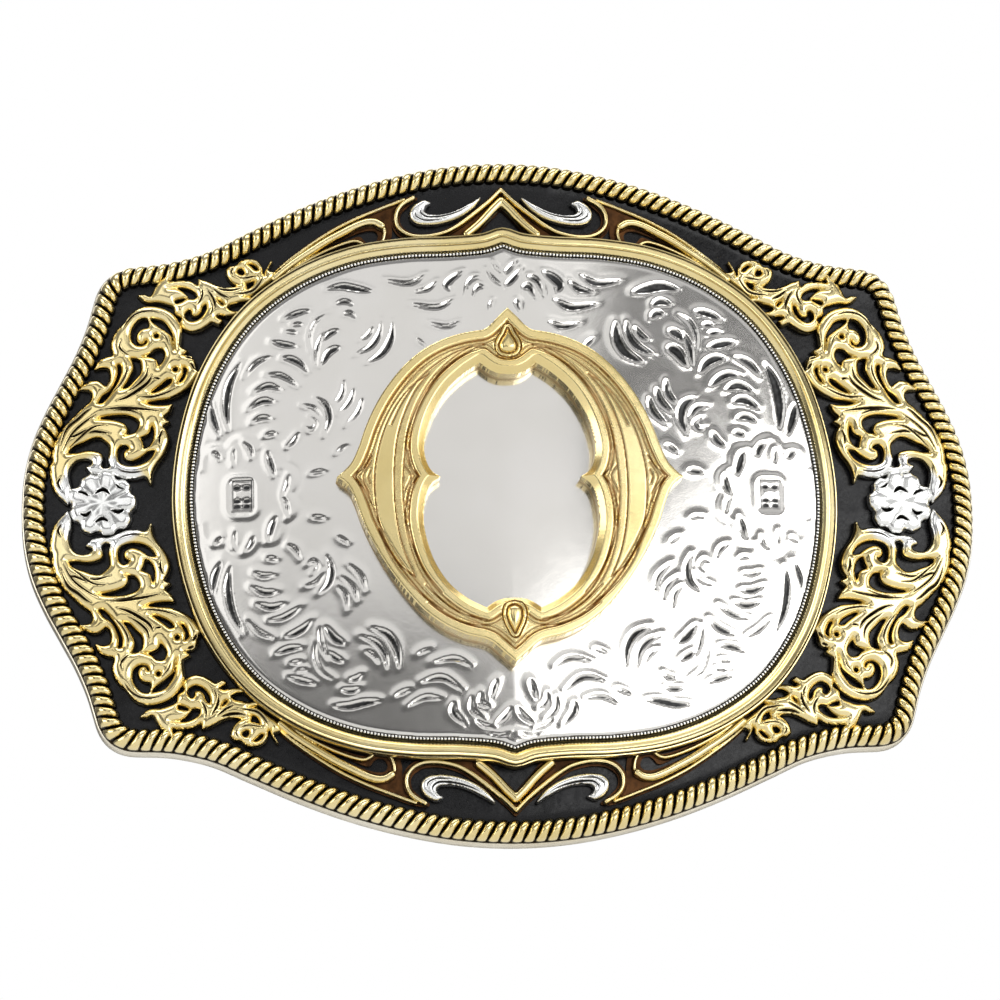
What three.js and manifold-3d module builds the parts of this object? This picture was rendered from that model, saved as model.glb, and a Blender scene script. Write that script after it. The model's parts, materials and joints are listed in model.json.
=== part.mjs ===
// Western dress belt buckle, built up from separate soldered and set pieces.
// Units are millimetres. X is to the right of a person facing the buckle, Z is up, and the face
// looks towards -Y. The origin is the middle of the blank plaque on the back.
// Pieces of the face are drawn in plan (X right, Y up) with their height Z towards the viewer,
// then bent with the plate, and one group turns them all upright.

import * as THREE from 'three';
import { mergeVertices } from 'three/addons/utils/BufferGeometryUtils.js';
import Module from 'manifold-3d';

const wasm = await Module();
wasm.setup();

// ---------- driving dimensions ----------
const BEND_RADIUS = 200;        // the plate is bent about a vertical axis, its ends towards the wearer
const GAP = 0.3;                // between pieces that are soldered or set together

const PLAQUE_THICKNESS = 0.8;
const PLATE_THICKNESS = 1.7;
const ENAMEL_THICKNESS = 0.45;
const TRIM_THICKNESS = 1.1;
const ROPE_RADIUS = 1.2;        // half the width of the rope border
const ROPE_HEIGHT = 1.9;
const WALL_DRAFT = 0.3;         // the plate's foot stands out from its front edge by this
const BEZEL_WIDTH = 1.15;
const BEZEL_HEIGHT = 1.5;
const WIRE_RADIUS = 0.25;
const PANEL_THICKNESS = 2.0;
const PANEL_CROWN = 0.4;
const RING_HEIGHT = 2.3;
const RING_RISE = 0.3;          // the ring is set this far above the middle of the panel

const HINGE_X = 17;             // the belt loop's hinge axis
const HINGE_Y = 4.5;
const LOOP_REACH = 17;          // hinge axis to the middle of the loop's bar
const LOOP_INSIDE = 41;         // for a belt 38 to 40 mm wide
const LOOP_SECTION = 2.6;
const LOOP_CORNER = 4;
const PIN_RADIUS = 1.0;
const PIN_LENGTH = 5;
const PIN_ROOT = 1;             // how far a pin runs into the loop's arm
const LUG_WIDTH = 5.2;
const LUG_LENGTH = 3.8;
const LUG_BASE_Y = 0.2;
const LUG_HOLE_RADIUS = 1.3;
const LUG_CLEARANCE = 0.5;      // between the loop's arm and the lug beside it

const HOOK_X = -30;
const HOOK_PAD_RADIUS = 4.6;
const HOOK_PAD_FACE_Y = 2.9;
const HOOK_RADIUS = 2.1;
const HOOK_HEAD_RADIUS = 2.5;
const HOOK_HEAD_FLAT = 1.3;     // radius of the flat on the end of the head
const HOOK_HEAD_HEIGHT = 1.9;
const HOOK_HEAD_FLARE = 0.9;    // length of the cone from the neck to the head
const HOOK_LENGTH = 7.8;
const HOOK_LEAN = 20;           // degrees, away from the belt loop

const PLAQUE_HALF_LENGTH = 9;
const PLAQUE_HALF_HEIGHT = 6;
const PLAQUE_CORNER = 2;
const PLAQUE_EDGE_GAP = 0.1;    // the plaque is thinner than its seat, which follows the bend

const FLOWER_X = 40.05;
const FLOWER_RADIUS = 3.0;
const FLOWER_PETALS = 8;

// ---------- heights above the plaque's back face, at the middle of the buckle ----------
const PLATE_BACK = PLAQUE_THICKNESS + GAP;
const PLATE_FRONT = PLATE_BACK + PLATE_THICKNESS;
const ENAMEL_BACK = PLATE_FRONT + GAP;
const ENAMEL_FRONT = ENAMEL_BACK + ENAMEL_THICKNESS;
const TRIM_BACK = ENAMEL_FRONT + GAP;
const PANEL_BACK = PLATE_FRONT + GAP;
const PANEL_EDGE = PANEL_BACK + PANEL_THICKNESS;
const RING_BACK = PANEL_EDGE + PANEL_CROWN + GAP;

// ---------- materials ----------
function metal(color, roughness) {
  return new THREE.MeshStandardMaterial({ color, roughness, metalness: 1 });
}
const gold = () => metal(0xd8b070, 0.28);
const agedGold = () => metal(0xc59a58, 0.36);
const silver = () => metal(0xd9d9d6, 0.3);
const nickel = () => metal(0xb9b4a8, 0.38);
const enamelLook = { color: 0x121214, roughness: 0.15, metalness: 0 };
const blackEnamel = () => new THREE.MeshStandardMaterial(enamelLook);

// ---------- outlines in plan, one quarter each ----------
const vectors = (pairs) => pairs.map(([x, y]) => new THREE.Vector2(x, y));

// Middle line of the rope border: a long bowed top, a tight corner and a waisted end.
const ROPE_TOP = [
  [0, 33.4], [5, 33.1], [10, 32.2], [15, 30.8], [20, 28.9], [25, 26.6], [29, 24.75], [33, 23.75],
  [36.6, 23.45],
];
const ROPE_CORNER = [38.7, 23.3];
const ROPE_END = [
  [39.3, 21.2], [40.2, 18.1], [41.4, 15.2], [42.9, 12.3], [44.4, 9.4], [45.6, 6.5], [46.3, 3.4],
  [46.5, 0],
];

// Edge of the silver panel, with a low peak at top and bottom.
const PANEL_QUARTER = [
  [0, 25.4], [1.6, 24.85], [5, 24.5], [10, 24.3], [15, 23.5], [20, 21.5], [24.6, 18.1],
  [28.1, 13.1], [30.2, 7.2], [31.1, 0],
];

const TOP_STEPS = 13;
const CORNER_STEPS = 4;
const END_STEPS = 9;

function mirrorQuarter(quarter) {
  const left = quarter.slice(1).reverse().map((p) => new THREE.Vector2(-p.x, p.y));
  const half = [...left, ...quarter];
  const lower = half.slice(1, -1).reverse().map((p) => new THREE.Vector2(p.x, -p.y));
  return [...half, ...lower].reverse();     // anticlockwise
}

function ropeMiddleLine() {
  const top = new THREE.SplineCurve(vectors(ROPE_TOP));
  const end = new THREE.SplineCurve(vectors(ROPE_END));
  const control = new THREE.Vector2(...ROPE_CORNER);
  const corner = new THREE.QuadraticBezierCurve(top.points.at(-1), control, end.points[0]);
  const quarter = [
    ...top.getSpacedPoints(TOP_STEPS),
    ...corner.getSpacedPoints(CORNER_STEPS).slice(1),
    ...end.getSpacedPoints(END_STEPS).slice(1),
  ];
  return mirrorQuarter(quarter);
}

function offsetOutline(points, distance) {
  return points.map((p, i) => {
    const before = points.at(i - 1);
    const after = points[(i + 1) % points.length];
    const along = after.clone().sub(before).normalize();
    return new THREE.Vector2(p.x + along.y * distance, p.y - along.x * distance);
  });
}

// The points where rays from the middle, at the angles of guide's points, cross a denser outline.
function matchAngles(outline, guide) {
  const angles = outline.map((p) => Math.atan2(p.y, p.x));
  return guide.map((g) => {
    const angle = Math.atan2(g.y, g.x);
    for (let i = 0; i < outline.length; i++) {
      const j = (i + 1) % outline.length;
      const span = THREE.MathUtils.euclideanModulo(angles[j] - angles[i], 2 * Math.PI);
      const part = THREE.MathUtils.euclideanModulo(angle - angles[i], 2 * Math.PI);
      if (part <= span) {
        const a = outline[i];
        const b = outline[j];
        const direction = new THREE.Vector2(Math.cos(angle), Math.sin(angle));
        const edge = b.clone().sub(a);
        const reach = a.cross(edge) / direction.cross(edge);
        return direction.multiplyScalar(reach);
      }
    }
    throw new Error('outline does not go round the middle');
  });
}

function scaleOutline(points, factor) {
  return points.map((p) => p.clone().multiplyScalar(factor));
}

const ropeLine = ropeMiddleLine();
const panelCurve = new THREE.SplineCurve(vectors(PANEL_QUARTER));
const panelDense = mirrorQuarter(panelCurve.getSpacedPoints(60));
const panelOutline = (distance, guide) => matchAngles(offsetOutline(panelDense, distance), guide);

// An even set of points for the pieces that follow the panel.
const PANEL_STEPS = 23;
const panelGuide = mirrorQuarter(panelCurve.getSpacedPoints(PANEL_STEPS));

// ---------- solids ----------
// A solid skinned over rows of matching points. Each row is { points, height }.
function loft(rows) {
  const columns = rows[0].points.length;
  const geometry = new THREE.LatheGeometry(rows.map((row, i) => new THREE.Vector2(1, i)), columns);
  const position = geometry.attributes.position;
  for (let column = 0; column <= columns; column++) {
    rows.forEach((row, i) => {
      const p = row.points[column % columns];
      position.setXYZ(column * rows.length + i, p.x, p.y, row.height);
    });
  }
  return geometry;
}

function closedLoft(rows) {
  return loft([...rows, rows[0]]);
}

function middleRow(guide, height) {
  return { points: guide.map(() => new THREE.Vector2(0, 0)), height };
}

// Bends a face piece with the plate.
function bend(geometry) {
  return bendWhere(geometry, () => true);
}

// Bends only the front of a piece behind the plate, and leaves its back flat.
function bendFront(geometry) {
  return bendWhere(geometry, (height) => height > 0);
}

function bendWhere(geometry, chosen) {
  const position = geometry.attributes.position;
  for (let i = 0; i < position.count; i++) {
    if (chosen(position.getZ(i))) {
      const x = position.getX(i);
      position.setZ(i, position.getZ(i) - x * x / (2 * BEND_RADIUS));
    }
  }
  return geometry;
}

function extrude(shape, depth, curveSegments) {
  return new THREE.ExtrudeGeometry(shape, { depth, bevelEnabled: false, curveSegments });
}

function slab(outline, holes, back, thickness) {
  const points = vectors(outline);
  if (THREE.ShapeUtils.isClockWise(points)) {
    points.reverse();
  }
  const shape = new THREE.Shape(points);
  holes.forEach((hole) => shape.holes.push(new THREE.Path(vectors(hole))));
  return extrude(shape, thickness, 1).translate(0, 0, back);
}

function finish(geometry) {
  geometry.deleteAttribute('normal');
  geometry.deleteAttribute('uv');
  const merged = mergeVertices(geometry, 1e-4);
  merged.computeVertexNormals();
  return merged;
}

function toManifold(geometry) {
  const merged = finish(geometry);
  return new wasm.Manifold(new wasm.Mesh({
    numProp: 3,
    vertProperties: merged.attributes.position.array,
    triVerts: Uint32Array.from(merged.index.array),
  }));
}

function fromManifold(solid) {
  const mesh = solid.getMesh();
  const geometry = new THREE.BufferGeometry();
  geometry.setAttribute('position', new THREE.BufferAttribute(mesh.vertProperties, 3));
  geometry.setIndex(new THREE.BufferAttribute(mesh.triVerts, 1));
  geometry.computeVertexNormals();
  return geometry;
}

function named(name, geometry, material) {
  const mesh = new THREE.Mesh(geometry, material);
  mesh.name = name;
  return mesh;
}

// ---------- the plate and what covers it ----------
function basePlate() {
  const foot = offsetOutline(ropeLine, ROPE_RADIUS + WALL_DRAFT);
  const front = offsetOutline(ropeLine, ROPE_RADIUS);
  return loft([
    middleRow(foot, PLATE_BACK),
    { points: scaleOutline(foot, 0.33), height: PLATE_BACK },
    { points: scaleOutline(foot, 0.66), height: PLATE_BACK },
    { points: foot, height: PLATE_BACK },
    { points: front, height: PLATE_FRONT },
    { points: scaleOutline(front, 0.66), height: PLATE_FRONT },
    { points: scaleOutline(front, 0.33), height: PLATE_FRONT },
    middleRow(front, PLATE_FRONT),
  ]);
}

function ropeEdge() {
  const sides = 8;
  const rows = [];
  for (let i = 0; i < sides; i++) {
    const angle = 2 * Math.PI * (i + 0.5) / sides;
    rows.push({
      points: offsetOutline(ropeLine, ROPE_RADIUS * Math.cos(angle)),
      height: ENAMEL_BACK + ROPE_HEIGHT / 2 * (1 + Math.sin(angle) / Math.sin(Math.PI * 3 / 8)),
    });
  }
  return closedLoft(rows);
}

function enamelField() {
  const outer = offsetOutline(ropeLine, -ROPE_RADIUS - GAP);
  const inner = panelOutline(GAP + 0.4, ropeLine);
  const between = (t) => inner.map((p, i) => p.clone().lerp(outer[i], t));
  const steps = [0, 0.5, 1];
  return closedLoft([
    ...steps.map((t) => ({ points: between(t), height: ENAMEL_BACK })),
    ...steps.reverse().map((t) => ({ points: between(t), height: ENAMEL_FRONT })),
  ]);
}

function ovalPanel() {
  const edge = panelOutline(-2 * WIRE_RADIUS, panelGuide);
  return loft([
    middleRow(edge, PANEL_BACK),
    { points: scaleOutline(edge, 0.5), height: PANEL_BACK },
    { points: edge, height: PANEL_BACK },
    { points: edge, height: PANEL_EDGE },
    { points: scaleOutline(edge, 0.72), height: PANEL_EDGE + 0.5 * PANEL_CROWN },
    { points: scaleOutline(edge, 0.38), height: PANEL_EDGE + 0.86 * PANEL_CROWN },
    middleRow(edge, PANEL_EDGE + PANEL_CROWN),
  ]);
}

function milgrainWire() {
  const corners = [[0, -1], [1, 0], [0, 1], [-1, 0]];
  return closedLoft(corners.map(([out, up]) => ({
    points: panelOutline(WIRE_RADIUS * (out + 0.6), panelGuide),
    height: PANEL_EDGE + WIRE_RADIUS * up,
  })));
}

function ovalBezel() {
  const inside = GAP + 2 * WIRE_RADIUS;
  const slope = 0.35;
  const outline = (distance) => panelOutline(distance, panelGuide);
  return closedLoft([
    { points: outline(inside), height: TRIM_BACK },
    { points: outline(inside + BEZEL_WIDTH), height: TRIM_BACK },
    { points: outline(inside + BEZEL_WIDTH), height: TRIM_BACK + BEZEL_HEIGHT - slope },
    { points: outline(inside + BEZEL_WIDTH * 0.6), height: TRIM_BACK + BEZEL_HEIGHT },
    { points: outline(inside), height: TRIM_BACK + BEZEL_HEIGHT - slope },
  ]);
}

// ---------- the ring set on the panel ----------
// Right halves, from the top point down to the bottom point. The side cusps sit a little high.
const RING_OUTER = [
  [0, 17.85], [1, 16.9], [2.4, 15.6], [4.8, 15.2], [6.8, 14.5], [8.7, 13.4], [10.5, 11.8],
  [12.1, 9.8], [13.3, 7.8], [14.2, 5.8], [14.9, 3.8], [15.5, 2.0], [17.05, 0.85], [15.8, -0.3],
  [15.2, -1.6], [14.5, -3.8], [13.4, -6.2], [12, -8.6], [10.4, -10.8], [8.6, -12.8],
  [6.7, -14.2], [4.7, -15.1], [2.5, -15.6], [1, -16.9], [0, -17.85],
];
const RING_INNER = [
  [0, 11.2], [1.5, 11.5], [2.8, 12.4], [4.3, 11.4], [6, 9.8], [7.3, 7.8], [8.1, 5.8], [8.5, 3.8],
  [8.1, 2.4], [6.9, 0.85], [8.1, -0.6], [8.7, -3.2], [8.4, -5.2], [7.6, -7.7], [6.2, -9.9],
  [4.3, -11.5], [2.7, -12.3], [1.4, -11.6], [0, -11.4],
];

function bothHalves(half) {
  return [...half, ...half.slice(1, -1).reverse().map(([x, y]) => [-x, y])];
}

function cuspedRing() {
  const raised = (outline) => outline.map(([x, y]) => [x, y + RING_RISE]);
  return slab(raised(bothHalves(RING_OUTER)), [raised(bothHalves(RING_INNER))], RING_BACK, RING_HEIGHT);
}

// ---------- trim on the enamel, drawn for the upper right quarter ----------
const SCROLL = [
  [32.0, 18.0], [32.6, 18.9], [33.7, 19.5], [34.8, 19.8], [35.8, 19.7], [36.8, 19.3],
  [37.5, 18.5], [38.1, 17.4], [38.5, 16.2], [38.5, 14.9], [39.5, 14.6], [40.4, 14.0],
  [40.1, 12.6], [40.9, 12.2], [41.7, 11.4], [42.0, 10.0], [43.0, 8.1], [43.9, 6.6], [44.4, 5.2],
  [44.6, 3.8], [44.3, 2.4], [43.6, 3.2], [42.9, 4.0], [41.6, 4.5], [40.3, 4.3], [39.2, 3.6],
  [37.8, 3.4], [36.0, 3.4], [35.1, 2.5], [34.8, 3.7], [34.0, 4.9], [33.7, 6.3], [33.9, 7.6],
  [33.3, 8.5], [33.0, 9.8], [33.7, 10.2], [32.3, 10.8], [31.3, 12.1], [31.0, 13.3], [31.7, 14.5],
  [32.4, 15.2], [32.8, 15.9], [32.4, 16.8],
];
const SCROLL_SLOTS = [
  [[33.1, 17.0], [33.7, 18.2], [34.7, 18.8], [35.2, 18.5], [34.3, 17.7], [33.7, 16.7]],
  [[36.4, 7.8], [37.3, 8.8], [38.9, 9.1], [40.5, 8.9], [39.2, 8.2], [38.0, 7.4], [37.0, 7.1]],
  [[34.9, 5.5], [35.8, 4.5], [37.0, 4.1], [37.9, 4.6], [38.2, 5.4], [37.3, 5.1], [36.3, 5.2], [35.5, 6.2]],
  [[39.7, 5.4], [40.2, 6.4], [41.5, 6.5], [42.8, 5.7], [41.5, 5.6], [40.6, 5.2]],
];
const SPRIG = [
  [23.1, 25.3], [23.9, 24.5], [24.6, 24.3], [25.5, 24.4], [26.4, 23.9], [27.0, 23.0],
  [27.2, 22.1], [28.4, 21.8], [30.0, 22.1], [31.5, 22.2], [33.0, 21.9], [34.1, 21.9],
  [34.9, 21.0], [36.0, 20.7], [35.0, 20.3], [33.8, 20.4], [33.0, 19.9], [32.2, 19.3],
  [31.6, 18.3], [30.8, 17.7], [29.9, 18.0], [29.3, 19.0], [29.0, 20.1], [28.3, 20.1],
  [28.0, 18.7], [27.3, 19.8], [26.5, 19.4], [25.9, 20.4], [24.9, 20.6], [24.5, 21.3],
  [24.0, 22.0], [23.2, 23.1], [22.8, 24.3],
];
const RIBBON = [
  [10.0, 30.6], [12.0, 29.8], [15.0, 28.6], [17.0, 27.7], [19.0, 26.4], [21.0, 24.9],
  [22.2, 23.8], [23.0, 22.7], [23.3, 22.1], [22.4, 22.8], [20.6, 24.2], [17.4, 25.7],
  [14.8, 26.5], [12.4, 27.1], [11.3, 27.9], [11.2, 29.0], [10.8, 29.8],
];
const RIBBON_SLOT = [
  [12.2, 28.2], [12.9, 28.6], [14.0, 28.1], [16.0, 27.4], [18.0, 26.4], [20.0, 25.2],
  [21.0, 24.5], [20.0, 24.9], [18.0, 26.0], [16.0, 26.9], [14.2, 27.5], [12.8, 27.7],
];
const COMMA = [
  [2.4, 30.6], [3.1, 30.0], [4.0, 29.3], [5.0, 28.8], [6.0, 28.4], [7.0, 28.2], [8.0, 28.1],
  [8.8, 28.4], [9.1, 29.0], [8.9, 29.7], [8.3, 30.2], [7.5, 30.3], [7.9, 29.8], [7.7, 29.3],
  [7.0, 29.0], [6.0, 28.95], [5.0, 29.3], [4.0, 29.8], [3.2, 30.4],
];
// The peak, its right half: a chevron whose two feet run on as thin lines that hook round the commas.
const PEAK_SLOPE = [
  [0, 31.6], [1, 30.5], [2, 29.5], [3, 28.6], [4, 27.8], [5, 27.4],
];
const PEAK_LINE_INSIDE = [
  [6, 27.2], [7, 27.1], [8, 27.1], [9, 27.35], [9.7, 27.8], [10.0, 28.4], [9.9, 29.1],
  [9.3, 29.9],
];
const PEAK_LINE_OUTSIDE = [
  [9.5, 30.2], [10.2, 29.5], [10.5, 28.8], [10.4, 28.0], [9.9, 27.3], [9, 26.85], [8, 26.75],
];
const PEAK_FOOT = [
  [6, 26.75], [4.3, 26.8], [3.2, 26.95], [1.6, 28.2], [0, 29.8],
];

function peakOutline() {
  return bothHalves([...PEAK_SLOPE, ...PEAK_LINE_INSIDE, ...PEAK_LINE_OUTSIDE, ...PEAK_FOOT]);
}

function flowerOutline() {
  const points = [];
  const steps = FLOWER_PETALS * 5;
  for (let i = 0; i < steps; i++) {
    const angle = 2 * Math.PI * i / steps;
    const radius = FLOWER_RADIUS - 0.25 + 0.25 * Math.cos(FLOWER_PETALS * angle);
    points.push([FLOWER_X + radius * Math.cos(angle), radius * Math.sin(angle)]);
  }
  return points;
}

// ---------- fittings on the back, in the buckle's own axes ----------
function roundedBox(halfLength, halfHeight, radius) {
  const shape = new THREE.Shape();
  shape.moveTo(halfLength, -halfHeight + radius);
  shape.absarc(halfLength - radius, halfHeight - radius, radius, 0, Math.PI / 2);
  shape.absarc(-halfLength + radius, halfHeight - radius, radius, Math.PI / 2, Math.PI);
  shape.absarc(-halfLength + radius, -halfHeight + radius, radius, Math.PI, Math.PI * 3 / 2);
  shape.absarc(halfLength - radius, -halfHeight + radius, radius, Math.PI * 3 / 2, Math.PI * 2);
  return shape;
}

function backPlaque() {
  const shape = roundedBox(PLAQUE_HALF_LENGTH, PLAQUE_HALF_HEIGHT, PLAQUE_CORNER);
  return extrude(shape, PLAQUE_THICKNESS - PLAQUE_EDGE_GAP, 5);
}

// The loop is a flat bar bent to a C, and its two ends are turned outwards as hinge pins.
function beltLoop() {
  const inside = LOOP_INSIDE / 2;
  const outside = inside + LOOP_SECTION;
  const bar = LOOP_REACH + LOOP_SECTION / 2;
  const innerBar = LOOP_REACH - LOOP_SECTION / 2;
  const innerCorner = LOOP_CORNER - LOOP_SECTION;
  const heel = -LOOP_SECTION / 2;
  const shape = new THREE.Shape();
  shape.moveTo(heel, -outside);
  shape.lineTo(bar - LOOP_CORNER, -outside);
  shape.absarc(bar - LOOP_CORNER, -outside + LOOP_CORNER, LOOP_CORNER, -Math.PI / 2, 0);
  shape.absarc(bar - LOOP_CORNER, outside - LOOP_CORNER, LOOP_CORNER, 0, Math.PI / 2);
  shape.lineTo(heel, outside);
  shape.lineTo(heel, inside);
  shape.absarc(innerBar - innerCorner, inside - innerCorner, innerCorner, Math.PI / 2, 0, true);
  shape.absarc(innerBar - innerCorner, -inside + innerCorner, innerCorner, 0, -Math.PI / 2, true);
  shape.lineTo(heel, -inside);
  const flat = extrude(shape, LOOP_SECTION, 5);
  let solid = toManifold(flat.translate(0, 0, -LOOP_SECTION / 2));
  for (const side of [-1, 1]) {
    const length = PIN_LENGTH + PIN_ROOT;
    const pin = new THREE.CylinderGeometry(PIN_RADIUS, PIN_RADIUS, length, 16);
    pin.translate(0, side * (outside + PIN_LENGTH - length / 2), 0);
    solid = solid.add(toManifold(pin));
  }
  return fromManifold(solid);
}

// A lug's side view: flat foot, round top, one hole for the pin.
function loopLug() {
  const half = LUG_WIDTH / 2;
  const shape = new THREE.Shape();
  shape.moveTo(-half, LUG_BASE_Y - HINGE_Y);
  shape.lineTo(half, LUG_BASE_Y - HINGE_Y);
  shape.absarc(0, 0, half, 0, Math.PI);
  const hole = new THREE.Path();
  hole.absarc(0, 0, LUG_HOLE_RADIUS, 0, 2 * Math.PI, true);
  shape.holes.push(hole);
  return extrude(shape, LUG_LENGTH, 9).translate(0, 0, -LUG_LENGTH / 2);
}

// The pad's front follows the bent plate and its back is flat.
function hookPad() {
  const columns = [];
  const sides = 28;
  for (let i = 0; i < sides; i++) {
    const angle = 2 * Math.PI * i / sides;
    const x = HOOK_X + HOOK_PAD_RADIUS * Math.cos(angle);
    columns.push(new THREE.Vector2(x, HOOK_PAD_RADIUS * Math.sin(angle)));
  }
  const middle = columns.map(() => new THREE.Vector2(HOOK_X, 0));
  return loft([
    { points: middle, height: -HOOK_PAD_FACE_Y },
    { points: columns, height: -HOOK_PAD_FACE_Y },
    { points: columns, height: PLATE_BACK - GAP },
    { points: middle, height: PLATE_BACK - GAP },
  ]);
}

function hookPost() {
  const headFoot = HOOK_LENGTH - HOOK_HEAD_HEIGHT;
  const profile = [[0, 0], [HOOK_RADIUS, 0], [HOOK_RADIUS, headFoot - HOOK_HEAD_FLARE]];
  const steps = 4;
  for (let i = 0; i <= steps; i++) {
    const angle = Math.PI / 2 * i / steps;
    const radius = HOOK_HEAD_FLAT + (HOOK_HEAD_RADIUS - HOOK_HEAD_FLAT) * Math.cos(angle);
    profile.push([radius, headFoot + HOOK_HEAD_HEIGHT * Math.sin(angle)]);
  }
  profile.push([0, HOOK_LENGTH]);
  return new THREE.LatheGeometry(vectors(profile), 20);
}

// ---------- assembly ----------
const buckle = new THREE.Group();

const face = new THREE.Group();
face.rotation.x = Math.PI / 2;      // plan Y becomes up, plan Z becomes forwards
buckle.add(face);

function addFacePiece(name, geometry, material) {
  const mesh = named(name, finish(bend(geometry)), material);
  face.add(mesh);
  return mesh;
}

addFacePiece('base_plate', basePlate(), agedGold());
addFacePiece('rope_edge', ropeEdge(), gold());
addFacePiece('enamel_field', enamelField(), blackEnamel());
addFacePiece('oval_panel', ovalPanel(), silver());
addFacePiece('milgrain_wire', milgrainWire(), silver());
addFacePiece('oval_bezel', ovalBezel(), gold());
addFacePiece('cusped_ring', cuspedRing(), gold());

const QUARTERS = {
  upper_right: [1, 1],
  upper_left: [-1, 1],
  lower_right: [1, -1],
  lower_left: [-1, -1],
};
for (const [place, [right, up]] of Object.entries(QUARTERS)) {
  const pieces = [
    ['scroll', SCROLL, SCROLL_SLOTS, gold()],
    ['sprig', SPRIG, [], gold()],
    ['ribbon', RIBBON, [RIBBON_SLOT], gold()],
    ['comma_leaf', COMMA, [], silver()],
  ];
  for (const [kind, outline, slots, material] of pieces) {
    const solid = slab(outline, slots, TRIM_BACK, TRIM_THICKNESS);
    const mesh = addFacePiece(`${kind}_${place}`, solid, material);
    mesh.scale.set(right, up, 1);
  }
}

for (const [place, up] of [['top', 1], ['bottom', -1]]) {
  const solid = slab(peakOutline(), [], TRIM_BACK, TRIM_THICKNESS);
  const mesh = addFacePiece(`peak_${place}`, solid, gold());
  mesh.scale.set(1, up, 1);
}

for (const [place, right] of [['right', 1], ['left', -1]]) {
  const solid = slab(flowerOutline(), [], TRIM_BACK, TRIM_THICKNESS);
  const mesh = addFacePiece(`flower_${place}`, solid, silver());
  mesh.scale.set(right, 1, 1);
}

face.add(named('back_plaque', finish(bendFront(backPlaque())), nickel()));
face.add(named('hook_pad', finish(bendFront(hookPad())), nickel()));

const hook = new THREE.Group();
const hookLean = THREE.MathUtils.degToRad(HOOK_LEAN);
const hookFoot = HOOK_PAD_FACE_Y + GAP + HOOK_RADIUS * Math.sin(hookLean);
hook.position.set(HOOK_X, hookFoot, 0);
hook.rotation.z = hookLean;
hook.add(named('hook_post', finish(hookPost()), nickel()));
buckle.add(hook);

const hinge = new THREE.Group();
hinge.position.set(HINGE_X, HINGE_Y, 0);
const loopMesh = named('belt_loop', beltLoop(), nickel());
loopMesh.rotation.x = Math.PI / 2;
hinge.add(loopMesh);
const lugMiddle = LOOP_INSIDE / 2 + LOOP_SECTION + LUG_CLEARANCE + LUG_LENGTH / 2;
for (const [place, side] of [['upper', 1], ['lower', -1]]) {
  const lug = named(`loop_lug_${place}`, finish(loopLug()), nickel());
  lug.position.z = side * lugMiddle;
  hinge.add(lug);
}
buckle.add(hinge);

export default buckle;
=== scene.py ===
import json
import math

import bpy
import numpy as np
from mathutils import Matrix, Vector
from mathutils.geometry import tessellate_polygon


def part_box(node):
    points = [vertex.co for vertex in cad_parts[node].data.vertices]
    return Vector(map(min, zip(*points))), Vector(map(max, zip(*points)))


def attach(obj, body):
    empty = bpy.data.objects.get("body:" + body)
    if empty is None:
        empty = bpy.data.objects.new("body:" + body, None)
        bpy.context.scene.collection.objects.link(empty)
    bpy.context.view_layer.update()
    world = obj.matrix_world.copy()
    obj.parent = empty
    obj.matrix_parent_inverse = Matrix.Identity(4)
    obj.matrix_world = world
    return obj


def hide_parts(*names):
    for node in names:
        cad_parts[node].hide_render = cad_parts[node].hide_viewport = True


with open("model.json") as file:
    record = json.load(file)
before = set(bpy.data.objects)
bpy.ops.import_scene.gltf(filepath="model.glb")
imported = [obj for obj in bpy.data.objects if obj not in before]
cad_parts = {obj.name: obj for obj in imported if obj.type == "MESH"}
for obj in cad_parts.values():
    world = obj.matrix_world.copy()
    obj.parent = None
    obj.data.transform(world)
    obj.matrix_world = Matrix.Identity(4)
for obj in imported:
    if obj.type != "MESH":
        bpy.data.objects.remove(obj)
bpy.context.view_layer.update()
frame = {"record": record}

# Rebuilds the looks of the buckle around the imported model. Lengths below are in millimetres, turned
# to metres when a mesh is made. A face piece is drawn in plan (u right, v up) with its height h
# towards the viewer, and bent with the plate.

MM = 0.001

BEND_RADIUS = 200.0


def front_height(node):
    """How far in front of the plaque's back face a node reaches, in millimetres."""
    return -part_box(node)[0].y / MM


ENAMEL_FRONT = front_height("enamel_field")
PANEL_TOP = front_height("oval_panel")
BEZEL_TOP = front_height("oval_bezel")
RING_TOP = front_height("cusped_ring")
ROPE_TOP_HEIGHT = front_height("rope_edge")
PLATE_BACK = -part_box("back_plaque")[0].y / MM + 0.3
PANEL_CROWN = 0.4
PANEL_EDGE = PANEL_TOP - PANEL_CROWN

# ---------------------------------------------------------------- camera

CAMERA_AZIMUTH = math.radians(-5.47)
CAMERA_ELEVATION = math.radians(-13.77)
CAMERA_ROLL = math.radians(1.43)
CAMERA_DISTANCE = 0.450

toward = Vector((
    math.sin(CAMERA_AZIMUTH) * math.cos(CAMERA_ELEVATION),
    -math.cos(CAMERA_AZIMUTH) * math.cos(CAMERA_ELEVATION),
    math.sin(CAMERA_ELEVATION),
))
level = Vector((math.cos(CAMERA_AZIMUTH), math.sin(CAMERA_AZIMUTH), 0.0))
upright = toward.cross(level)
image_right = level * math.cos(CAMERA_ROLL) - upright * math.sin(CAMERA_ROLL)
image_up = level * math.sin(CAMERA_ROLL) + upright * math.cos(CAMERA_ROLL)

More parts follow.
